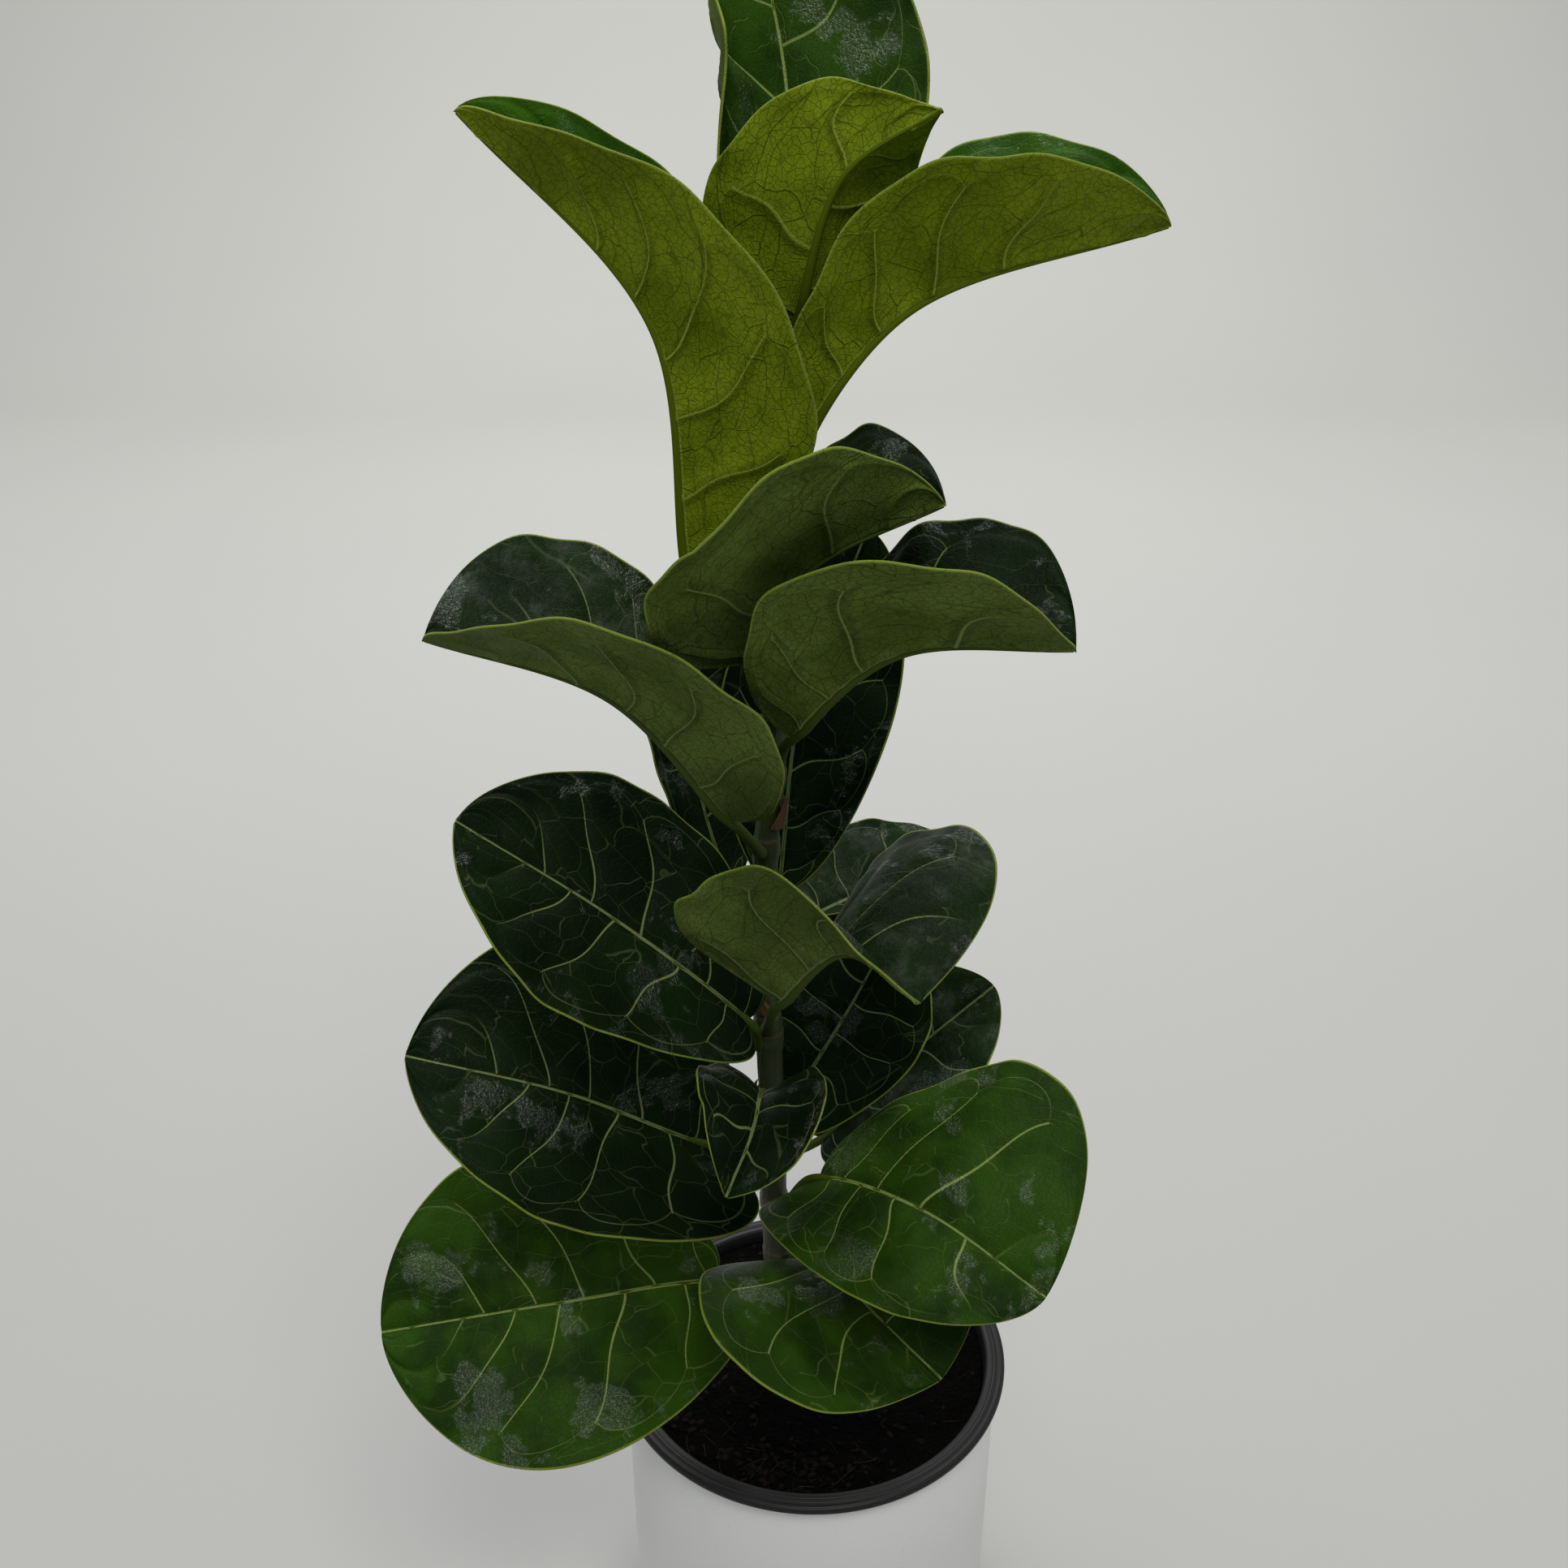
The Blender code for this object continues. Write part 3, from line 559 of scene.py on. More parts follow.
def make_leaf(node, leaf, finish, index):
    """One leaf: two skins, a rounded margin, a stalk, and the numbers that its finish reads."""
    seed = SEED_STEP * index
    top, under, sheet, normal, number, along = blade_points(leaf, seed)
    rows, columns = top.shape[:2]
    rim = edge_loop(rows, columns)
    top, under = top.reshape(-1, 3), under.reshape(-1, 3)
    normal = normal.reshape(-1, 3)[rim]
    outward = (sheet - sheet[:, COLUMNS : COLUMNS + 1]).reshape(-1, 3)[rim]
    outward = unit(outward - (outward * normal).sum(1, keepdims=True) * normal)
    middle = (top[rim] + under[rim]) / 2
    edge = middle + 0.3 * outward
    rings = stalk_rings(leaf)
    size, round_rim = rows * columns, len(rim)
    points = np.vstack([top, under, edge, rings.reshape(-1, 3)])
    faces = [*grid_faces(rows, columns), *grid_faces(rows, columns, size, True)]
    for near, far in ((rim, 2 * size), (rim + size, 2 * size)):
        ring = np.arange(round_rim) + far
        band = np.stack([near, np.roll(near, -1), np.roll(ring, -1), ring], -1)
        faces += list(band if near[0] < size else band[:, ::-1])
    start = 2 * size + round_rim
    faces += ring_faces(len(rings), STALK_SIDES, start)
    piece = add_piece(node + "_blade", points, faces, finish)
    mesh = piece.data
    flat = number.reshape(-1, 5)
    stalk = np.zeros((len(rings) * STALK_SIDES, 5))
    every = np.vstack([flat, flat, flat[rim], stalk])
    lengths = along.reshape(-1)
    every_along = np.r_[lengths, lengths, lengths[rim], np.zeros(len(stalk))]
    for name, values in zip(LEAF_NUMBERS, every.T):
        store(mesh, name, values)
    store(mesh, "toward_tip", every_along / lengths.max())
    blade = np.stack([every[:, 3], every_along + PATTERN_APART * index, 0 * every_along], -1)
    store(mesh, "blade_place", blade)
    upper = np.r_[np.ones(size), np.zeros(size), np.full(round_rim, 0.5), np.zeros(len(stalk))]
    store(mesh, "upper_side", upper)
    store(mesh, "stalk", np.r_[np.zeros(start), np.ones(len(stalk))])
    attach(piece, "root")
    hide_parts(node)
    return piece


# %% [markdown]
# ### The leaf's finish
# A leaf is waxy above, dull and paler below, and this plant has just been watered, so wet patches
# shine on it. The veins are pale yellow-green lines above, and raised olive ribs below. Between
# them runs a net of small veins that closes into cells. The side veins come from the numbers stored
# with the mesh. The net is made of the borders of irregular cells, the first 13 mm across and laid
# in the same numbers, so that they stretch from one side vein to the next. The smaller cells are
# 2.6 mm and 1 mm across in the blade's own millimetres. Real ones are finer, and wouldn't show.

# %% Leaf finishes
def line_mask(tree, distance, width, soft):
    """1 on a line where distance is under half its width, and 0 away from it."""
    half = add_node(tree, "Math", [width, 0.5], **TIMES)
    return add_node(
        tree,
        "MapRange",
        [distance, half, add_node(tree, "Math", [half, soft], **PLUS), 1.0, 0.0],
        **SMOOTH,
    )


def waxy_leaf(name, upper, upper_light, under, under_light, vein, rib, net, dust_and_sheen=0.0, gloss=1.0):
    """Two-sided leaf skin. The argument after net is how much grey lies on the upper side, partly
    dust and partly painted sheen.
    """
    made, tree = new_finish(name)
    number = {
        key: add_node(tree, "Attribute", attribute_name=key).outputs["Fac"] for key in LEAF_NUMBERS
    }
    place = add_node(tree, "Attribute", attribute_name="blade_place").outputs["Vector"]
    upper_side, margin, toward_tip = number["upper_side"], number["margin"], number["toward_tip"]
    is_upper = add_node(tree, "MapRange", [upper_side, 0.45, 0.55], **SMOOTH)
    warp = add_node(tree, "TexNoise", {"Vector": place, "Scale": 0.05, "Detail": 2.0})
    warped = add_node(tree, "VectorMath", {0: warp.outputs["Color"], 1: (7, 7, 0)}, **TIMES)
    mm = add_node(tree, "VectorMath", {0: place, 1: warped}, **PLUS)

    off_side = add_node(tree, "Math", [number["side_veins"], 0.5], operation="PINGPONG")
    off_side = add_node(tree, "Math", [off_side, number["vein_spacing"]], **TIMES)
    inside = add_node(tree, "MapRange", [number["past_loop"], -0.4, 0.8, 1.0, 0.0], **SMOOTH)
    far_from_tip = add_node(tree, "MapRange", [toward_tip, 0.70, 0.86, 1.0, 0.0], **SMOOTH)
    inside = add_node(tree, "Math", [inside, far_from_tip], **TIMES)
    side_width = add_node(tree, "MapRange", [margin, 0.0, 0.8, 0.42, 0.08], **SMOOTH)
    side_mask = line_mask(tree, off_side, side_width, 0.25)
    side_mask = add_node(tree, "Math", [side_mask, inside], **TIMES)
    off_loop = add_node(tree, "Math", [number["past_loop"]], operation="ABSOLUTE")
    fading = add_node(tree, "MapRange", [toward_tip, 0.6, 0.8, 0.45, 0.0], **SMOOTH)
    loop_mask = add_node(tree, "Math", [line_mask(tree, off_loop, 0.1, 0.28), fading], **TIMES)
    off_mid = add_node(tree, "Math", [number["across"]], operation="ABSOLUTE")
    mid_width = add_node(tree, "MapRange", [toward_tip, 0.0, 0.9, 1.4, 0.4], **SMOOTH)
    mid_mask = line_mask(tree, off_mid, mid_width, 0.35)
    bold = add_node(tree, "Math", [side_mask, loop_mask], operation="MAXIMUM")
    bold = add_node(tree, "Math", [mid_mask, bold], operation="MAXIMUM")

    steps = [
        add_node(tree, "Math", [number["side_veins"], 1.7], **TIMES),
        add_node(tree, "Math", [number["across"], 13.0], operation="DIVIDE"),
    ]
    ladder = add_node(tree, "CombineXYZ", steps)
    bent = add_node(tree, "VectorMath", {0: warp.outputs["Color"], 1: (0.9, 0.9, 0)}, **TIMES)
    ladder = add_node(tree, "VectorMath", [ladder, bent], **PLUS)
    nets = []
    for vector, scale, width in ((ladder, 1.0, 0.017), (mm, 0.38, 0.08), (mm, 0.95, 0.16)):
        cells = {"Vector": vector, "Scale": scale, "Randomness": 0.9}
        border = add_node(tree, "TexVoronoi", cells, feature="DISTANCE_TO_EDGE").outputs["Distance"]
        nets.append(add_node(tree, "MapRange", [border, 0.0, width, 1.0, 0.0], **SMOOTH))
    third, fourth, fifth = nets

    spots = {"Vector": place, "Detail": 3.0, "Roughness": 0.6}
    blotch = add_node(tree, "TexNoise", {**spots, "Scale": 0.022})
    fine = add_node(tree, "TexNoise", {**spots, "Scale": 0.35})
    patch = add_node(tree, "MapRange", [blotch, 0.38, 0.62], **SMOOTH)
    near_vein = add_node(tree, "MapRange", [off_side, 0.0, 6.0, 1.0, 0.0], **SMOOTH)
    # A grey bloom on the upper side: partly dust, partly painted sheen.
    grey_dust_and_sheen = {"Vector": place, "Scale": 0.05, "Detail": 4.0, "Roughness": 0.7}
    grey_dust_and_sheen = add_node(tree, "MapRange", [add_node(tree, "TexNoise", grey_dust_and_sheen), 0.45, 0.75], **SMOOTH)
    top = painted(
        tree,
        colour(upper),
        [
            (patch, 1.0, upper_light),
            (fine, 0.25, upper_light),
            (near_vein, 0.22, upper_light),
            # the grey coat: partly dust, partly painted sheen
            (grey_dust_and_sheen, dust_and_sheen, "#565c52"),
            (fifth, 0.12, upper_light),
            (fourth, 0.22, upper_light),
            (third, 0.12, vein),
            (bold, 0.55, vein),
        ],
    )
    shade = add_node(tree, "Math", [line_mask(tree, off_side, 2.2, 1.6), inside], **TIMES)
    low = painted(
        tree,
        colour(under),
        [
            (patch, 1.0, under_light),
            (fifth, 0.30, net),
            (fourth, 0.45, net),
            (third, 0.45, net),
            (shade, 0.35, net),
            (bold, 0.85, rib),
        ],
    )

    skin = add_node(tree, "Mix", {0: is_upper, 6: low, 7: top}, **BLEND)
    rim_mask = add_node(tree, "MapRange", [margin, 0.985, 0.997], **SMOOTH)
    skin = painted(tree, skin, [(rim_mask, 0.8, "#7c8a38")])
    rod = add_node(tree, "Mix", {0: fine, 6: colour(net), 7: colour(under)}, **BLEND)
    skin = add_node(tree, "Mix", {0: number["stalk"], 6: skin, 7: rod}, **BLEND)

    height = add_node(tree, "Math", [fine, 0.10], **TIMES)
    for mask, depth in ((third, -0.35), (fourth, -0.16), (fifth, -0.05)):
        height = add_node(tree, "Math", [mask, depth, height], operation="MULTIPLY_ADD")
    facing = add_node(tree, "MapRange", [upper_side, 0.4, 0.6, -0.9, 1.0], **SMOOTH)
    height = add_node(tree, "Math", [height, facing], **TIMES)
    bump = add_node(tree, "Bump", {"Height": height, "Distance": 0.001, "Strength": 0.8})
    puddle = {"Vector": place, "Scale": 0.026, "Detail": 4.0, "Roughness": 0.65}
    puddle = add_node(tree, "MapRange", [add_node(tree, "TexNoise", puddle), 0.56, 0.60], **SMOOTH)
    beads = add_node(tree, "TexNoise", {"Vector": place, "Scale": 0.9})
    beads = add_node(tree, "MapRange", [beads, 0.40, 0.62, 0.35, 1.0], **SMOOTH)
    wet = add_node(tree, "Math", [puddle, beads], **TIMES)
    wet = add_node(tree, "Math", [wet, gloss], **TIMES)
    ripples = {
        "Height": add_node(tree, "TexNoise", {"Vector": place, "Scale": 0.7, "Detail": 3.0}),
        "Distance": 0.0012,
        "Strength": 0.9,
        "Normal": bump,
    }
    ripple = add_node(tree, "Bump", ripples)
    shine = add_node(tree, "Math", [wet, is_upper], **TIMES)
    rough = add_node(tree, "MapRange", [upper_side, 0.4, 0.6, 0.62, 0.42], **SMOOTH)
    inputs = {"Base Color": skin, "Roughness": rough, "IOR": 1.45, "Specular IOR Level": 0.06}
    inputs |= {"Normal": bump, "Coat Weight": shine, "Coat Roughness": 0.08, "Coat Normal": ripple}
    shader = add_node(tree, "BsdfPrincipled", inputs)
    add_node(tree, "OutputMaterial", [shader])
    return made


# The hex values are the upper side dark and light, the under side dark and light, the veins above,
# the ribs below, and the net below.
MATURE = waxy_leaf(
    "waxy_mature_leaf",
    *("#051003", "#0c1e06", "#4e5e22", "#647634", "#85955f", "#75854a", "#262e0e"),
)
# Leaves whose upper side carries a grey bloom, partly dust and partly painted sheen.
DUST_AND_SHEEN_LEAF = waxy_leaf(
    "dust_and_sheen_mature_leaf",
    *("#091706", "#13260a", "#50602a", "#657638", "#7a8a5c", "#748450", "#2f3816"),
    dust_and_sheen=0.4,
    gloss=0.7,
)
BRIGHT = waxy_leaf(
    "bright_mature_leaf",
    *("#0c2104", "#274307", "#485816", "#5e7022", "#93a45c", "#7d8c48", "#343f0e"),
)
TENDER = waxy_leaf(
    "tender_young_leaf",
    *("#1a3803", "#33590a", "#63750e", "#7f921a", "#8fa048", "#8c9b38", "#3a4406"),
    gloss=0.6,
)
FINISH = dict.fromkeys(("leaf_01", "leaf_02", "leaf_03", "leaf_18"), BRIGHT)
FINISH.update(dict.fromkeys(("leaf_04", "leaf_09", "leaf_10", "leaf_13"), DUST_AND_SHEEN_LEAF))
FINISH.update(dict.fromkeys(YOUNG, TENDER))
print("leaf finishes:", len({*FINISH.values(), MATURE}))

# %% Make the nineteen leaves
faces_made = 0
for index, (node, leaf) in enumerate(LEAVES.items(), 1):
    piece = make_leaf(node, leaf, FINISH.get(node, MATURE), index)
    faces_made += len(piece.data.polygons)
print("leaves:", len(LEAVES), "faces:", faces_made)


# %% [markdown]
# ## The stem
# The stem is green bark with a ring at every leaf's foot, where the old stipule was. It is a tube
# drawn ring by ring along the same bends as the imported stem, because its swellings and scars are
# too many for a plain bevelled curve.

# %% Stem
# The stem's centre line, with its radius at each point, in millimetres.
STEM = (
    (-6, 0, 150, 7.0), (-9, 0, 190, 7.6), (-14, 0, 228, 6.6), (-17, 0, 252, 6.8),
    (-19, 0, 286, 6.3), (-20, 0, 320, 6.5), (-20, 0, 350, 5.8), (-21, 0, 385, 6.2),
    (-23, 0, 415, 5.3), (-23, 0, 448, 5.9), (-22, 0, 484, 5.4), (-19, 0, 517, 5.2),
    (-17, 0, 554, 5.0), (-15, 0, 600, 4.0), (-14, 0, 640, 4.4), (-13, 0, 672, 3.6),
    (-13, 0, 703, 3.8),
)


STEM_SIDES = 40
STEM_STEP = 0.8


def stem_tube(middles, radii):
    """Rings of points round the stem's line, as one closed body with shallow ridges in its bark."""
    turn = np.arange(STEM_SIDES) * 2 * np.pi / STEM_SIDES
    flat = np.stack([np.cos(turn), np.sin(turn), 0 * turn], -1)
    height = middles[:, 2][:, None]
    ridges = 0.15 * np.sin(5 * turn + height / 9) + 0.1 * np.sin(11 * turn - height / 5)
    points = middles[:, None, :] + (radii[:, None] + ridges)[..., None] * flat
    return points.reshape(-1, 3), ring_faces(len(points), STEM_SIDES)


def bark_finish():
    """Young green bark: waxy, streaked lengthwise, brown and corky at the scars and the foot."""
    made, tree = new_finish("young_green_bark")
    place = add_node(tree, "TexCoord").outputs["Object"]
    upright = add_node(tree, "Mapping", {"Vector": place, "Scale": (900, 900, 60)})
    streak = add_node(
        tree, "TexNoise", {"Vector": upright, "Scale": 1.0, "Detail": 4.0, "Roughness": 0.6}
    )
    spots = add_node(tree, "TexNoise", {"Vector": place, "Scale": 700})
    height = add_node(tree, "SeparateXYZ", {0: place}).outputs["Z"]
    old = add_node(tree, "MapRange", [height, 0.20, 0.50, 0.75, 0.05], **SMOOTH)
    green = painted(tree, colour("#1d260f"), [(streak, 1.0, "#37451a")])
    brown = painted(tree, colour("#1c150e"), [(streak, 1.0, "#3a2e1c")])
    corky = add_node(tree, "MapRange", [spots, 0.4, 0.6], **SMOOTH)
    corky = add_node(tree, "Math", [old, corky], **TIMES)
    skin = add_node(tree, "Mix", {0: corky, 6: green, 7: brown}, **BLEND)
    scar = add_node(tree, "Attribute", attribute_name="scar").outputs["Fac"]
    skin = painted(tree, skin, [(scar, 0.8, "#4e4229")])
    bump = add_node(tree, "Bump", {"Height": streak, "Distance": 0.0006, "Strength": 0.8})
    inputs = {"Base Color": skin, "Roughness": 0.5, "Normal": bump}
    add_node(tree, "OutputMaterial", [add_node(tree, "BsdfPrincipled", inputs)])
    return made


def make_stem():
    knots = np.array(STEM, float)
    heights = np.arange(knots[0, 2], knots[-1, 2] + 2, STEM_STEP)
    middle = [np.interp(heights, knots[:, 2], knots[:, axis]) for axis in (0, 1)]
    for axis in (0, 1):
        middle[axis] = np.convolve(np.pad(middle[axis], 12, "edge"), np.ones(25) / 25, "valid")
    radii = np.interp(heights, knots[:, 2], knots[:, 3])
    scar = np.zeros(len(heights))
    for leaf in LEAVES.values():
        foot = leaf.route[0][2]
        radii += 0.9 * np.exp(-(((heights - foot) / 5) ** 2))
        ring = np.exp(-(((heights - foot - 5) / 0.9) ** 2))
        radii += 0.35 * ring
        scar = np.maximum(scar, ring)
    points, faces = stem_tube(np.stack([*middle, heights], -1), radii)
    piece = add_piece("stem_bark", points, faces, bark_finish())
    store(piece.data, "scar", np.repeat(scar, STEM_SIDES))
    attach(piece, "root")
    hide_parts("stem")
    print("stem rings:", len(heights))


make_stem()

# %% [markdown]
# ## Bud and stipules
# At the top sits a pointed bud, wrapped in maroon sheaths that overlap like a closed umbrella.
# Lower down, dry brown sheaths are left at some nodes. Both are thin scales rolled round an axis,
# so one function makes them all.

# %% Bud and stipules
def sheath_finish(name, dark, light, roughness):
    """A scale with fine lengthwise fibres."""
    made, tree = new_finish(name)
    place = add_node(tree, "TexCoord").outputs["Object"]
    upright = add_node(tree, "Mapping", {"Vector": place, "Scale": (1500, 1500, 90)})
    fibre = add_node(
        tree, "TexNoise", {"Vector": upright, "Scale": 1.0, "Detail": 3.0, "Roughness": 0.65}
    )
    skin = painted(tree, colour(dark), [(fibre, 1.0, light)])
    bump = add_node(tree, "Bump", {"Height": fibre, "Distance": 0.0005, "Strength": 0.9})
    inputs = {"Base Color": skin, "Roughness": roughness, "Normal": bump}
    add_node(tree, "OutputMaterial", [add_node(tree, "BsdfPrincipled", inputs)])
    return made


def scale_points(foot, axis, facing, length, radius, wrap, thickness=0.35, rows=36, columns=22):
    """A pointed scale rolled round an axis through foot: outer and inner grids of points."""
    axis, facing = unit(np.array(axis, float)), np.array(facing, float)
    facing = unit(facing - (facing @ axis) * axis)
    beside = np.cross(axis, facing)
    run = np.linspace(0, 1, rows)
    taper = np.sqrt(np.clip(1 - run**1.6, 0, 1)) * 0.98 + 0.02
    spread = np.radians(wrap) / 2 * (1 - 0.75 * run**1.5)
    shares = np.linspace(-1, 1, columns)
    grids = []
    for extra in (thickness / 2, -thickness / 2):
        reach = (radius * taper)[:, None] + extra + 0.25 * np.sin(9 * shares + 5 * run[:, None])
        turn = spread[:, None] * shares[None, :]
        grids.append(
            np.array(foot, float)
            + (run * length)[:, None, None] * axis
            + (reach * np.cos(turn))[..., None] * facing
            + (reach * np.sin(turn))[..., None] * beside
        )
    return grids


def closed_scale(name, sheets, finish, node):
    """One piece from pairs of grids, each pair closed round its rim."""
    points, faces, start = [], [], 0
    for outer, inner in sheets:
        rows, columns = outer.shape[:2]
        size = rows * columns
        rim = edge_loop(rows, columns)
        points += [outer.reshape(-1, 3), inner.reshape(-1, 3)]
        near, far = rim + start, rim + start + size
        faces += list(grid_faces(rows, columns, start))
        faces += list(grid_faces(rows, columns, start + size, True))
        faces += list(np.stack([near, far, np.roll(far, -1), np.roll(near, -1)], -1))
        start += 2 * size
    piece = add_piece(name, np.vstack(points), faces, finish)
    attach(piece, "root")
    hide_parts(node)
    return piece


def box_in_mm(node):
    """The middle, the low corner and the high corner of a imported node."""
    low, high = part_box(node)
    return np.array((low + high) / 2) / MM, np.array(low) / MM, np.array(high) / MM


BUD_RADIUS = 3.3
bud_middle, bud_low, bud_high = box_in_mm("terminal_bud")
BUD_HEIGHT = bud_high[2] - bud_low[2]
bud_foot = (bud_middle[0], bud_middle[1], bud_low[2])
bud_scales = [
    scale_points(
        bud_foot,
        (0, 0, 1),
        (math.cos(turn), math.sin(turn), 0),
        BUD_HEIGHT * size,
        BUD_RADIUS * size,
        230,
    )
    for turn, size in ((2.6, 1.0), (-0.6, 0.93), (1.0, 0.80))
]
bud_finish = sheath_finish("maroon_bud_sheath", "#2a1012", "#6b3a34", 0.45)
closed_scale("bud_sheaths", bud_scales, bud_finish, "terminal_bud")

dry_finish = sheath_finish("dry_papery_stipule", "#2e1b10", "#7a5a36", 0.8)
for sheath in range(1, 5):
    node = f"stipule_{sheath}"
    centre, low, high = box_in_mm(node)
    on_stem = [np.interp(low[2], [k[2] for k in STEM], [k[axis] for k in STEM]) for axis in (0, 1)]
    away = np.array([centre[0] - on_stem[0], centre[1] - on_stem[1], 0])
    foot = np.array([on_stem[0], on_stem[1], low[2]]) + unit(away) * 1.5
    lean = unit(away) * 0.35 + (0, 0, 1)
    sheet = scale_points(foot, lean, away, high[2] - low[2], 5.6, 120, 0.4)
    inner = scale_points(foot, lean, away, (high[2] - low[2]) * 0.8, 5.0, 70, 0.4)
    closed_scale(node + "_papery", [sheet, inner], dry_finish, node)
print("bud height:", round(float(BUD_HEIGHT), 1), "mm")

# %% [markdown]
# ## The two pots
# The nursery pot is thin moulded black plastic with a broad flat rim. The cover pot is a plain
# glazed cylinder. Both are turned shapes: a circle is extruded again and again, and each new ring
# is scaled and raised to the next point of the profile, as one would draw up a pot by hand.

# %% Turned shapes
RING_SIDES = 160


def turn_profile(name, profile, finish):
    """A closed turned body: an outside and inside profile of (radius, height) in mm."""
    bpy.ops.object.select_all(action="DESELECT")
    radius, height = profile[0]
    bpy.ops.mesh.primitive_circle_add(
        vertices=RING_SIDES, radius=radius * MM, location=(0, 0, height * MM)
    )
    made = bpy.context.object
    made.name = name
    bpy.ops.object.transform_apply(location=True, rotation=True, scale=True)
    bpy.ops.object.mode_set(mode="EDIT")
    bpy.ops.mesh.select_all(action="SELECT")
    for (from_radius, low), (to_radius, high) in zip(profile, profile[1:]):
        bpy.ops.mesh.extrude_region_move(
            TRANSFORM_OT_translate={"value": (0, 0, (high - low) * MM)}
        )
        grown = to_radius / from_radius
        bpy.ops.transform.resize(value=(grown, grown, 1), center_override=(0, 0, 0))
    bpy.ops.mesh.select_all(action="SELECT")
    bpy.ops.mesh.remove_doubles(threshold=0.00001)
    bpy.ops.mesh.select_all(action="DESELECT")
    bpy.ops.mesh.select_non_manifold()
    if any(v.select for v in bmesh.from_edit_mesh(made.data).verts):
        bpy.ops.mesh.edge_face_add()
    bpy.ops.mesh.select_all(action="SELECT")
    bpy.ops.mesh.normals_make_consistent(inside=False)
    bpy.ops.object.mode_set(mode="OBJECT")
    bpy.ops.object.shade_smooth_by_angle(angle=math.radians(40))
    made.data.materials.append(finish)
    return made


# %% Cover pot
def glaze_finish():
    """Satin white glaze over a cast body: nearly even, with faint orange-peel and a few specks."""
    made, tree = new_finish("satin_white_glaze")
    place = add_node(tree, "TexCoord").outputs["Object"]
    cloud = add_node(tree, "TexNoise", {"Vector": place, "Scale": 9, "Detail": 4.0})
    specks = add_node(tree, "TexNoise", {"Vector": place, "Scale": 900, "Detail": 1.0})
    specks = add_node(tree, "MapRange", [specks, 0.72, 0.78], **SMOOTH)
    skin = painted(tree, colour("#e2e2e1"), [(cloud, 1.0, "#dadad9"), (specks, 0.4, "#8d8a84")])
    peel = add_node(tree, "TexNoise", {"Vector": place, "Scale": 220})
    bump = add_node(tree, "Bump", {"Height": peel, "Distance": 0.0003, "Strength": 0.25})
    rough = add_node(tree, "MapRange", [cloud, 0.3, 0.7, 0.38, 0.5], **SMOOTH)
    inputs = {"Base Color": skin, "Roughness": rough, "Normal": bump}
    add_node(tree, "OutputMaterial", [add_node(tree, "BsdfPrincipled", inputs)])
    return made


COVER_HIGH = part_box("cover_pot")[1].z / MM
COVER_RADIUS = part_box("cover_pot")[1].x / MM

# Profile points as insets from the pot's outside, with heights from the floor or from the lip.
COVER_OUTSIDE = ((12, 0.8), (10, 0), (3, 0), (1.4, 0.5), (0.4, 1.5), (0, 3), (0, 60), (0, 120))
COVER_LIP = ((0, -1.4), (0.4, -0.4), (1.3, 0), (2.3, 0), (3.2, -0.4), (3.6, -1.4))
COVER_INSIDE = ((3.6, 100), (3.6, 8), (4.6, 6), (6.6, 5))
cover_profile = [(COVER_RADIUS - inset, height) for inset, height in COVER_OUTSIDE]
cover_profile += [(COVER_RADIUS - inset, COVER_HIGH + height) for inset, height in COVER_LIP]
cover_profile += [(COVER_RADIUS - inset, height) for inset, height in COVER_INSIDE]
cover_profile += [(1.0, 5), (0.2, 4.9), (0.2, 0.9), (1.0, 0.8), cover_profile[0]]
cover = turn_profile("cover_pot_glazed", cover_profile, glaze_finish())
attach(cover, "root")
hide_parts("cover_pot")
print("cover pot:", round(COVER_RADIUS * 2, 1), "mm across")


# %% Nursery pot
GROOVE_SPACING = 0.0011


def moulded_finish():
    """Black moulded polypropylene: satin, with turning marks of the mould and a few pale scuffs."""
    made, tree = new_finish("moulded_black_polypropylene")
    place = add_node(tree, "TexCoord").outputs["Object"]
    parts = add_node(tree, "SeparateXYZ", {0: place})
    squared = add_node(tree, "Math", [parts.outputs["X"], 2.0], operation="POWER")
    other = add_node(tree, "Math", [parts.outputs["Y"], 2.0], operation="POWER")
    squared = add_node(tree, "Math", [squared, other], **PLUS)
    radius = add_node(tree, "Math", [squared], operation="SQRT")
    turns = add_node(tree, "Math", [radius, 2 * math.pi / GROOVE_SPACING], **TIMES)
    groove = add_node(tree, "Math", [turns], operation="SINE")
    grain = add_node(tree, "TexNoise", {"Vector": place, "Scale": 1200, "Detail": 3.0})
    scuff = {"Vector": place, "Scale": 160, "Detail": 5.0, "Roughness": 0.75}
    scuff = add_node(tree, "MapRange", [add_node(tree, "TexNoise", scuff), 0.60, 0.75], **SMOOTH)
    inner = add_node(tree, "MapRange", [radius, 0.0935, 0.0960, 0.45, 0.0], **SMOOTH)
    coats = [(grain, 1.0, "#161617"), (scuff, 0.35, "#4d4c4a"), (inner, 1.0, "#222224")]
    skin = painted(tree, colour("#0e0e0f"), coats)
    height = add_node(tree, "Math", [groove, 0.12], **TIMES)
    height = add_node(tree, "Math", [grain, 0.2, height], operation="MULTIPLY_ADD")
    bump = add_node(tree, "Bump", {"Height": height, "Distance": 0.0004, "Strength": 0.6})
    rough = add_node(tree, "MapRange", [scuff, 0.0, 1.0, 0.42, 0.65], **SMOOTH)
    inputs = {"Base Color": skin, "Roughness": rough, "Specular IOR Level": 0.3, "Normal": bump}
    add_node(tree, "OutputMaterial", [add_node(tree, "BsdfPrincipled", inputs)])
    return made


NURSERY_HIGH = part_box("nursery_pot")[1].z / MM
NURSERY_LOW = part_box("nursery_pot")[0].z / MM
RIM_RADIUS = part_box("nursery_pot")[1].x / MM
WALL_TOP, WALL_FOOT = 91.2, 74.0

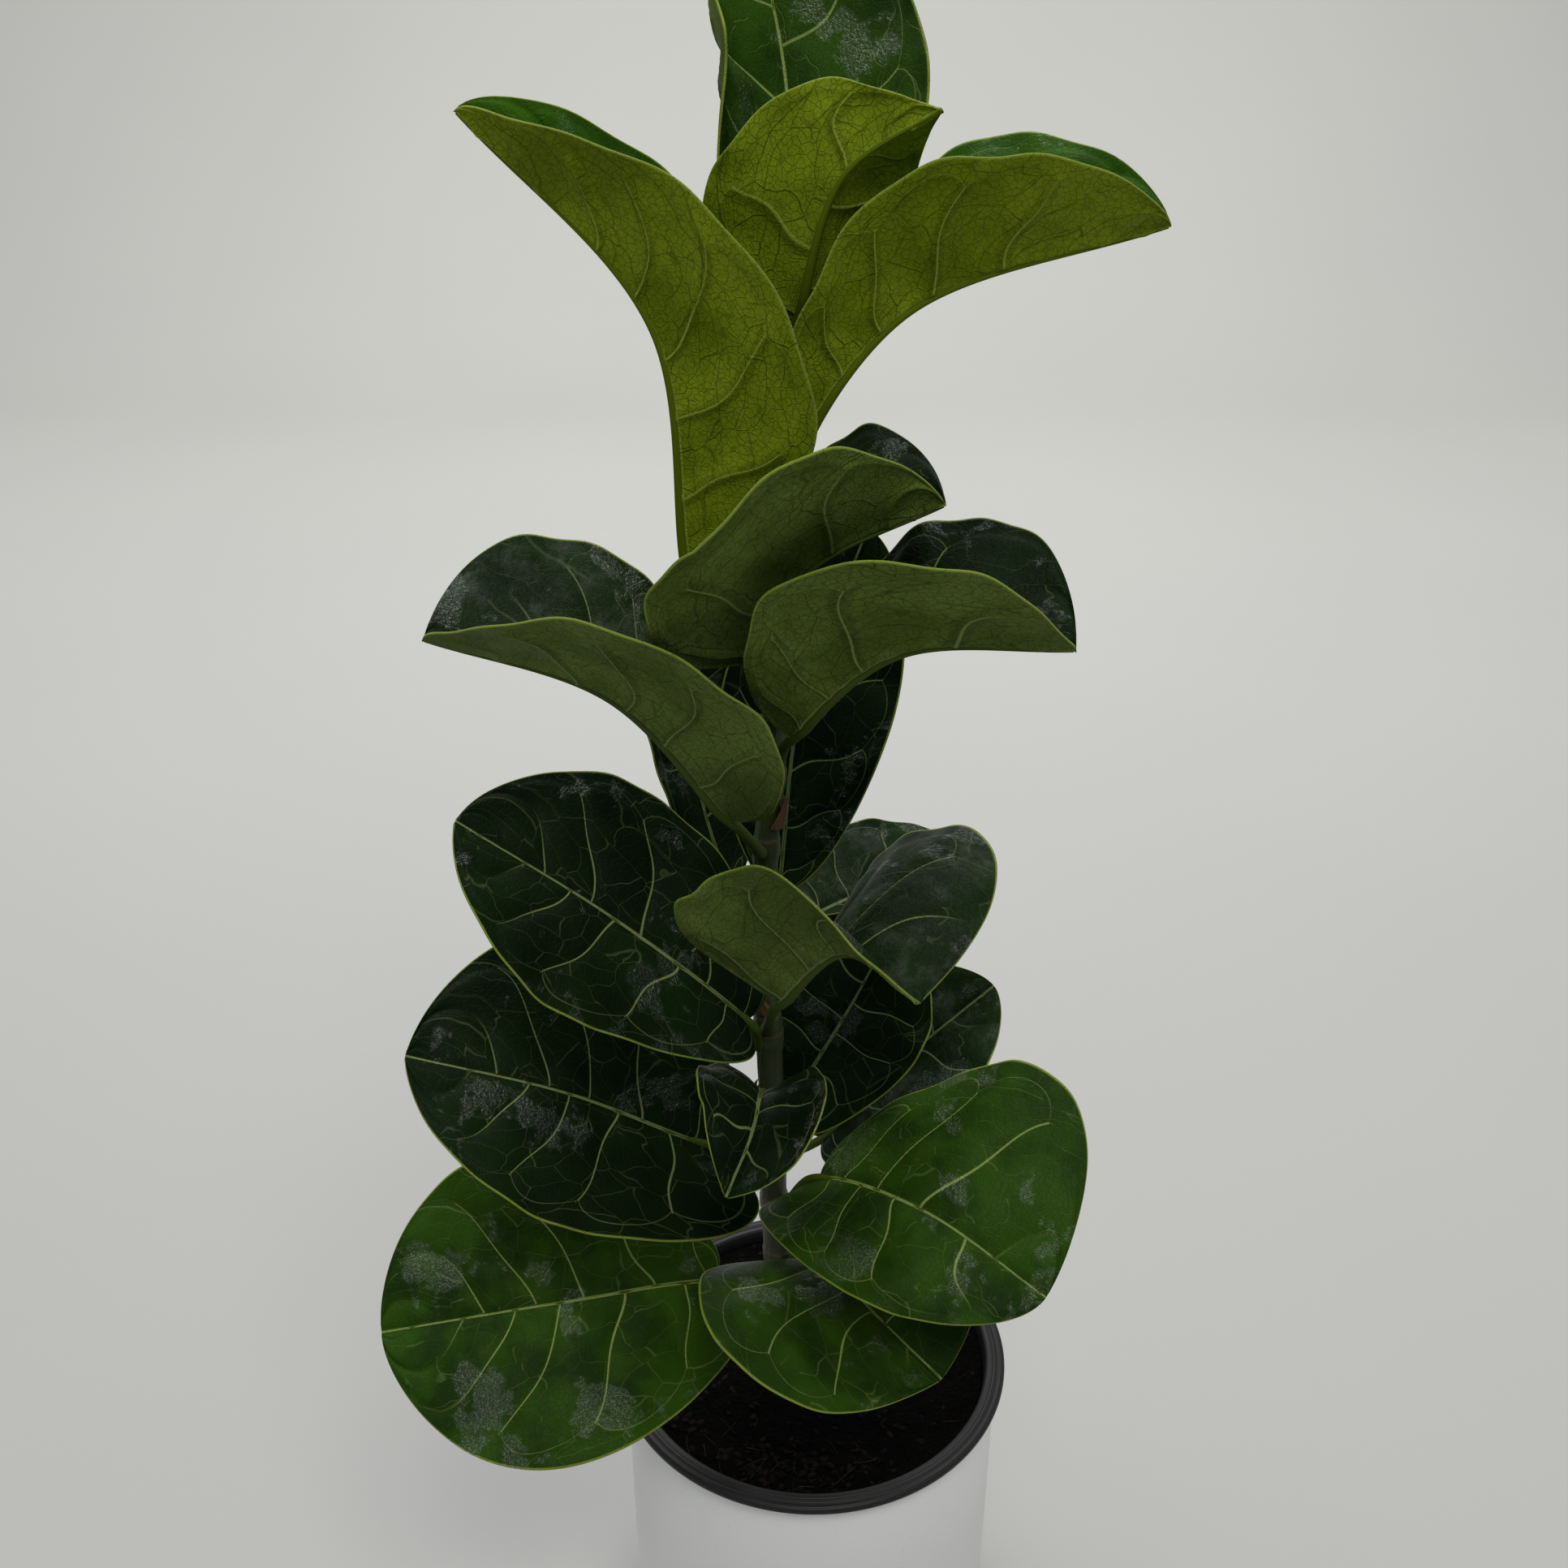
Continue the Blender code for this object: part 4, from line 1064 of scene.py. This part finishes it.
# The rim's points as insets from its edge and drops from its top: a flat ring with two grooves.
RIM_POINTS = (
    (1, 4), (0.25, 3.7), (0, 3), (0, 2), (0.35, 1.1), (1.2, 0.5), (2.6, 0.2), (3.6, 0.15),
    (4, 0.45), (4.4, 0.15), (5.8, 0), (6.1, 0.25), (6.4, 0), (8.4, 0), (9.2, 0.4), (9.8, 1.4),
)
nursery_profile = [
    (40, NURSERY_LOW),
    (WALL_FOOT - 1.5, NURSERY_LOW),
    (WALL_FOOT, NURSERY_LOW + 1.5),
    (WALL_TOP, NURSERY_HIGH - 4),
    *[(RIM_RADIUS - inset, NURSERY_HIGH - drop) for inset, drop in RIM_POINTS],
    (WALL_TOP - 1.7, NURSERY_HIGH - 4.4),
    (WALL_FOOT - 1.6, NURSERY_LOW + 3),
    (WALL_FOOT - 3.2, NURSERY_LOW + 1.6),
    (40, NURSERY_LOW + 1.6),
    (40, NURSERY_LOW),
]
nursery = turn_profile("nursery_pot_moulded", nursery_profile, moulded_finish())
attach(nursery, "root")
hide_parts("nursery_pot")
print("nursery rim:", round(RIM_RADIUS * 2, 1), "mm across")

# %% [markdown]
# ## The compost
# Damp compost fills the nursery pot to just under its rim. Up close it is crumbs, bark chips and a
# few pale fibres on near-black peat. The body is a disc of fine rings pushed up and down by a few
# crossing waves, and the chips and fibres are scattered on it by a seeded draw.

# %% Compost body
def compost_finish():
    """Damp peat: near black, with brown crumbs."""
    made, tree = new_finish("damp_peat_compost")
    place = add_node(tree, "TexCoord").outputs["Object"]
    crumbs = add_node(tree, "TexVoronoi", {"Vector": place, "Scale": 420.0}).outputs["Distance"]
    tint = add_node(
        tree, "TexNoise", {"Vector": place, "Scale": 240, "Detail": 5.0, "Roughness": 0.7}
    )
    brown = add_node(tree, "MapRange", [tint, 0.35, 0.72], **SMOOTH)
    bits = add_node(tree, "TexNoise", {"Vector": place, "Scale": 520})
    bits = add_node(tree, "MapRange", [bits, 0.62, 0.72, 0.0, 0.6], **SMOOTH)
    skin = painted(tree, colour("#010101"), [(brown, 1.0, "#060403"), (bits, 1.0, "#120c08")])
    grit = add_node(tree, "TexNoise", {"Vector": place, "Scale": 900, "Detail": 4.0})
    height = add_node(tree, "Math", [grit, 0.6, crumbs], operation="MULTIPLY_ADD")
    bump = add_node(tree, "Bump", {"Height": height, "Distance": 0.0016, "Strength": 0.9})
    inputs = {"Base Color": skin, "Roughness": 0.85, "Specular IOR Level": 0.05, "Normal": bump}
    add_node(tree, "OutputMaterial", [add_node(tree, "BsdfPrincipled", inputs)])
    return made


def crumbly(x, y):
    """Height of the crumbs above the smooth mound, in mm, from a few crossing waves."""
    rough = np.sin(x / 2.3 + 1.3 * np.sin(y / 3.1)) + np.sin(y / 1.9 + 1.7 * np.sin(x / 2.7))
    rough = rough + 0.8 * np.sin((x + y) / 1.3 + 2 * np.sin((x - y) / 4.3))
    lumps = np.sin(x / 8.5 + 2.1 * np.sin(y / 11)) + np.sin(y / 7.1 - 1.6 * np.sin(x / 9.7))
    return 0.32 * rough + 0.7 * lumps


SOIL_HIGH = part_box("soil")[1].z / MM
SOIL_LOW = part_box("soil")[0].z / MM
SOIL_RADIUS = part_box("soil")[1].x / MM


def soil_height(x, y):
    reach = np.hypot(x, y)
    mound = (SOIL_HIGH - 3) + 3 * np.exp(-((reach / 55) ** 2))
    return mound + crumbly(x, y) * np.clip((SOIL_RADIUS - 1 - reach) / 6, 0, 1) * 0.8 - 0.6


SOIL_RINGS, SOIL_SIDES = 120, 240


def make_soil():
    reaches = np.linspace(0.4, SOIL_RADIUS, SOIL_RINGS)
    turn = np.arange(SOIL_SIDES) * 2 * np.pi / SOIL_SIDES
    x, y = reaches[:, None] * np.cos(turn), reaches[:, None] * np.sin(turn)
    surface = np.stack([x, y, soil_height(x, y)], -1)
    foot = (WALL_FOOT - 4) / SOIL_RADIUS
    low_ring = surface[-1] * (foot, foot, 0) + (0, 0, SOIL_LOW)
    rings = np.concatenate([surface, low_ring[None]], 0)
    faces = ring_faces(len(rings), SOIL_SIDES)
    piece = add_piece("compost_body", rings.reshape(-1, 3), faces, compost_finish())
    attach(piece, "root")
    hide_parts("soil")
    print("compost rings:", len(rings))


make_soil()


# %% Bark chips and fibres
def scatter_finish(name, dark, light):
    """Dry bark or root: each bit has its own tone, with grain along it."""
    made, tree = new_finish(name)
    place = add_node(tree, "TexCoord").outputs["Object"]
    tone = add_node(tree, "Attribute", attribute_name="tone").outputs["Fac"]
    grain = add_node(tree, "TexNoise", {"Vector": place, "Scale": 1500, "Detail": 3.0})
    skin = painted(tree, colour(dark), [(tone, 1.0, light), (grain, 0.5, dark)])
    bump = add_node(tree, "Bump", {"Height": grain, "Distance": 0.0006, "Strength": 0.8})
    inputs = {"Base Color": skin, "Roughness": 0.85, "Specular IOR Level": 0.1, "Normal": bump}
    add_node(tree, "OutputMaterial", [add_node(tree, "BsdfPrincipled", inputs)])
    return made


def chip_points(draw, size):
    """A rough flat chip: a six-sided prism with uneven corners."""
    turn = np.arange(6) * np.pi / 3 + draw.uniform(0, 1)
    reach = size * draw.uniform(0.55, 1.0, 6)
    rows = []
    for height, grown in ((-0.32, 0.75), (-0.1, 1.0), (0.15, 0.95), (0.3, 0.6)):
        ring = [
            reach * grown * np.cos(turn) * 1.5,
            reach * grown * np.sin(turn),
            size * height + 0 * turn,
        ]
        rows.append(np.stack(ring, -1) + draw.normal(0, 0.05 * size, (6, 3)))
    return np.vstack(rows)


def turned_at_random(points, draw, tilt):
    heading, lean = draw.uniform(0, 2 * np.pi), draw.normal(0, tilt)
    c, s, d, t = np.cos(heading), np.sin(heading), np.cos(lean), np.sin(lean)
    about_z = np.array([[c, -s, 0], [s, c, 0], [0, 0, 1]])
    about_x = np.array([[1, 0, 0], [0, d, -t], [0, t, d]])
    return points @ (about_z @ about_x).T


def scatter(name, count, seed, make_bit, rise, tilt, finish, spread):
    """Many copies of one kind of bit, lying on the compost, as one piece."""
    draw = np.random.default_rng(seed)
    points, faces, tones, start = [], [], [], 0
    for _ in range(count):
        reach, turn = SOIL_RADIUS * 0.97 * np.sqrt(
            draw.uniform(0.02, 1)
        ), draw.uniform(0, 2 * np.pi)
        if draw.uniform() < spread:
            reach, turn = draw.uniform(0.70, 0.97) * SOIL_RADIUS, draw.normal(-1.75, 0.35)
        x, y = reach * math.cos(turn), reach * math.sin(turn)
        bit, sides = make_bit(draw)
        bit = turned_at_random(bit, draw, tilt)
        bit = bit + (x, y, soil_height(x, y) + rise)
        rows = len(bit) // sides
        faces += ring_faces(rows, sides, start)
        points.append(bit)
        tones += [draw.uniform()] * len(bit)
        start += len(bit)
    piece = add_piece(name, np.vstack(points), faces, finish)
    store(piece.data, "tone", tones)
    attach(piece, "root")
    print(name, count, "bits")


def bark_bit(draw):
    return chip_points(draw, draw.uniform(0.7, 2.2)), 6


def fibre_bit(draw):
    """A thin root hair, bent once or twice, 6 to 16 mm long."""
    length, bow = draw.uniform(6, 16), draw.uniform(-2.5, 2.5)
    run = np.linspace(-0.5, 0.5, 9)
    turn = np.arange(5) * 2 * np.pi / 5
    middle = np.stack([run * length, bow * np.cos(2.6 * run), 0.5 * np.sin(5 * run)], -1)
    ring = np.stack([0 * turn, np.cos(turn), np.sin(turn)], -1) * 0.16
    return (middle[:, None] + ring[None]).reshape(-1, 3), 5


scatter(
    "bark_chips",
    420,
    7,
    bark_bit,
    0.0,
    0.5,
    scatter_finish("composted_bark", "#030202", "#1a120c"),
    0.35,
)
scatter(
    "root_fibres",
    46,
    11,
    fibre_bit,
    0.5,
    0.15,
    scatter_finish("dry_root_fibre", "#1a140e", "#40342a"),
    0.3,
)

# %% Sizes and finish
new_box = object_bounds()
for low_or_high, before, after in zip(("low", "high"), CAD_BOX, new_box):
    print(low_or_high, "change in mm:", [round((b - a) / MM, 1) for a, b in zip(before, after)])
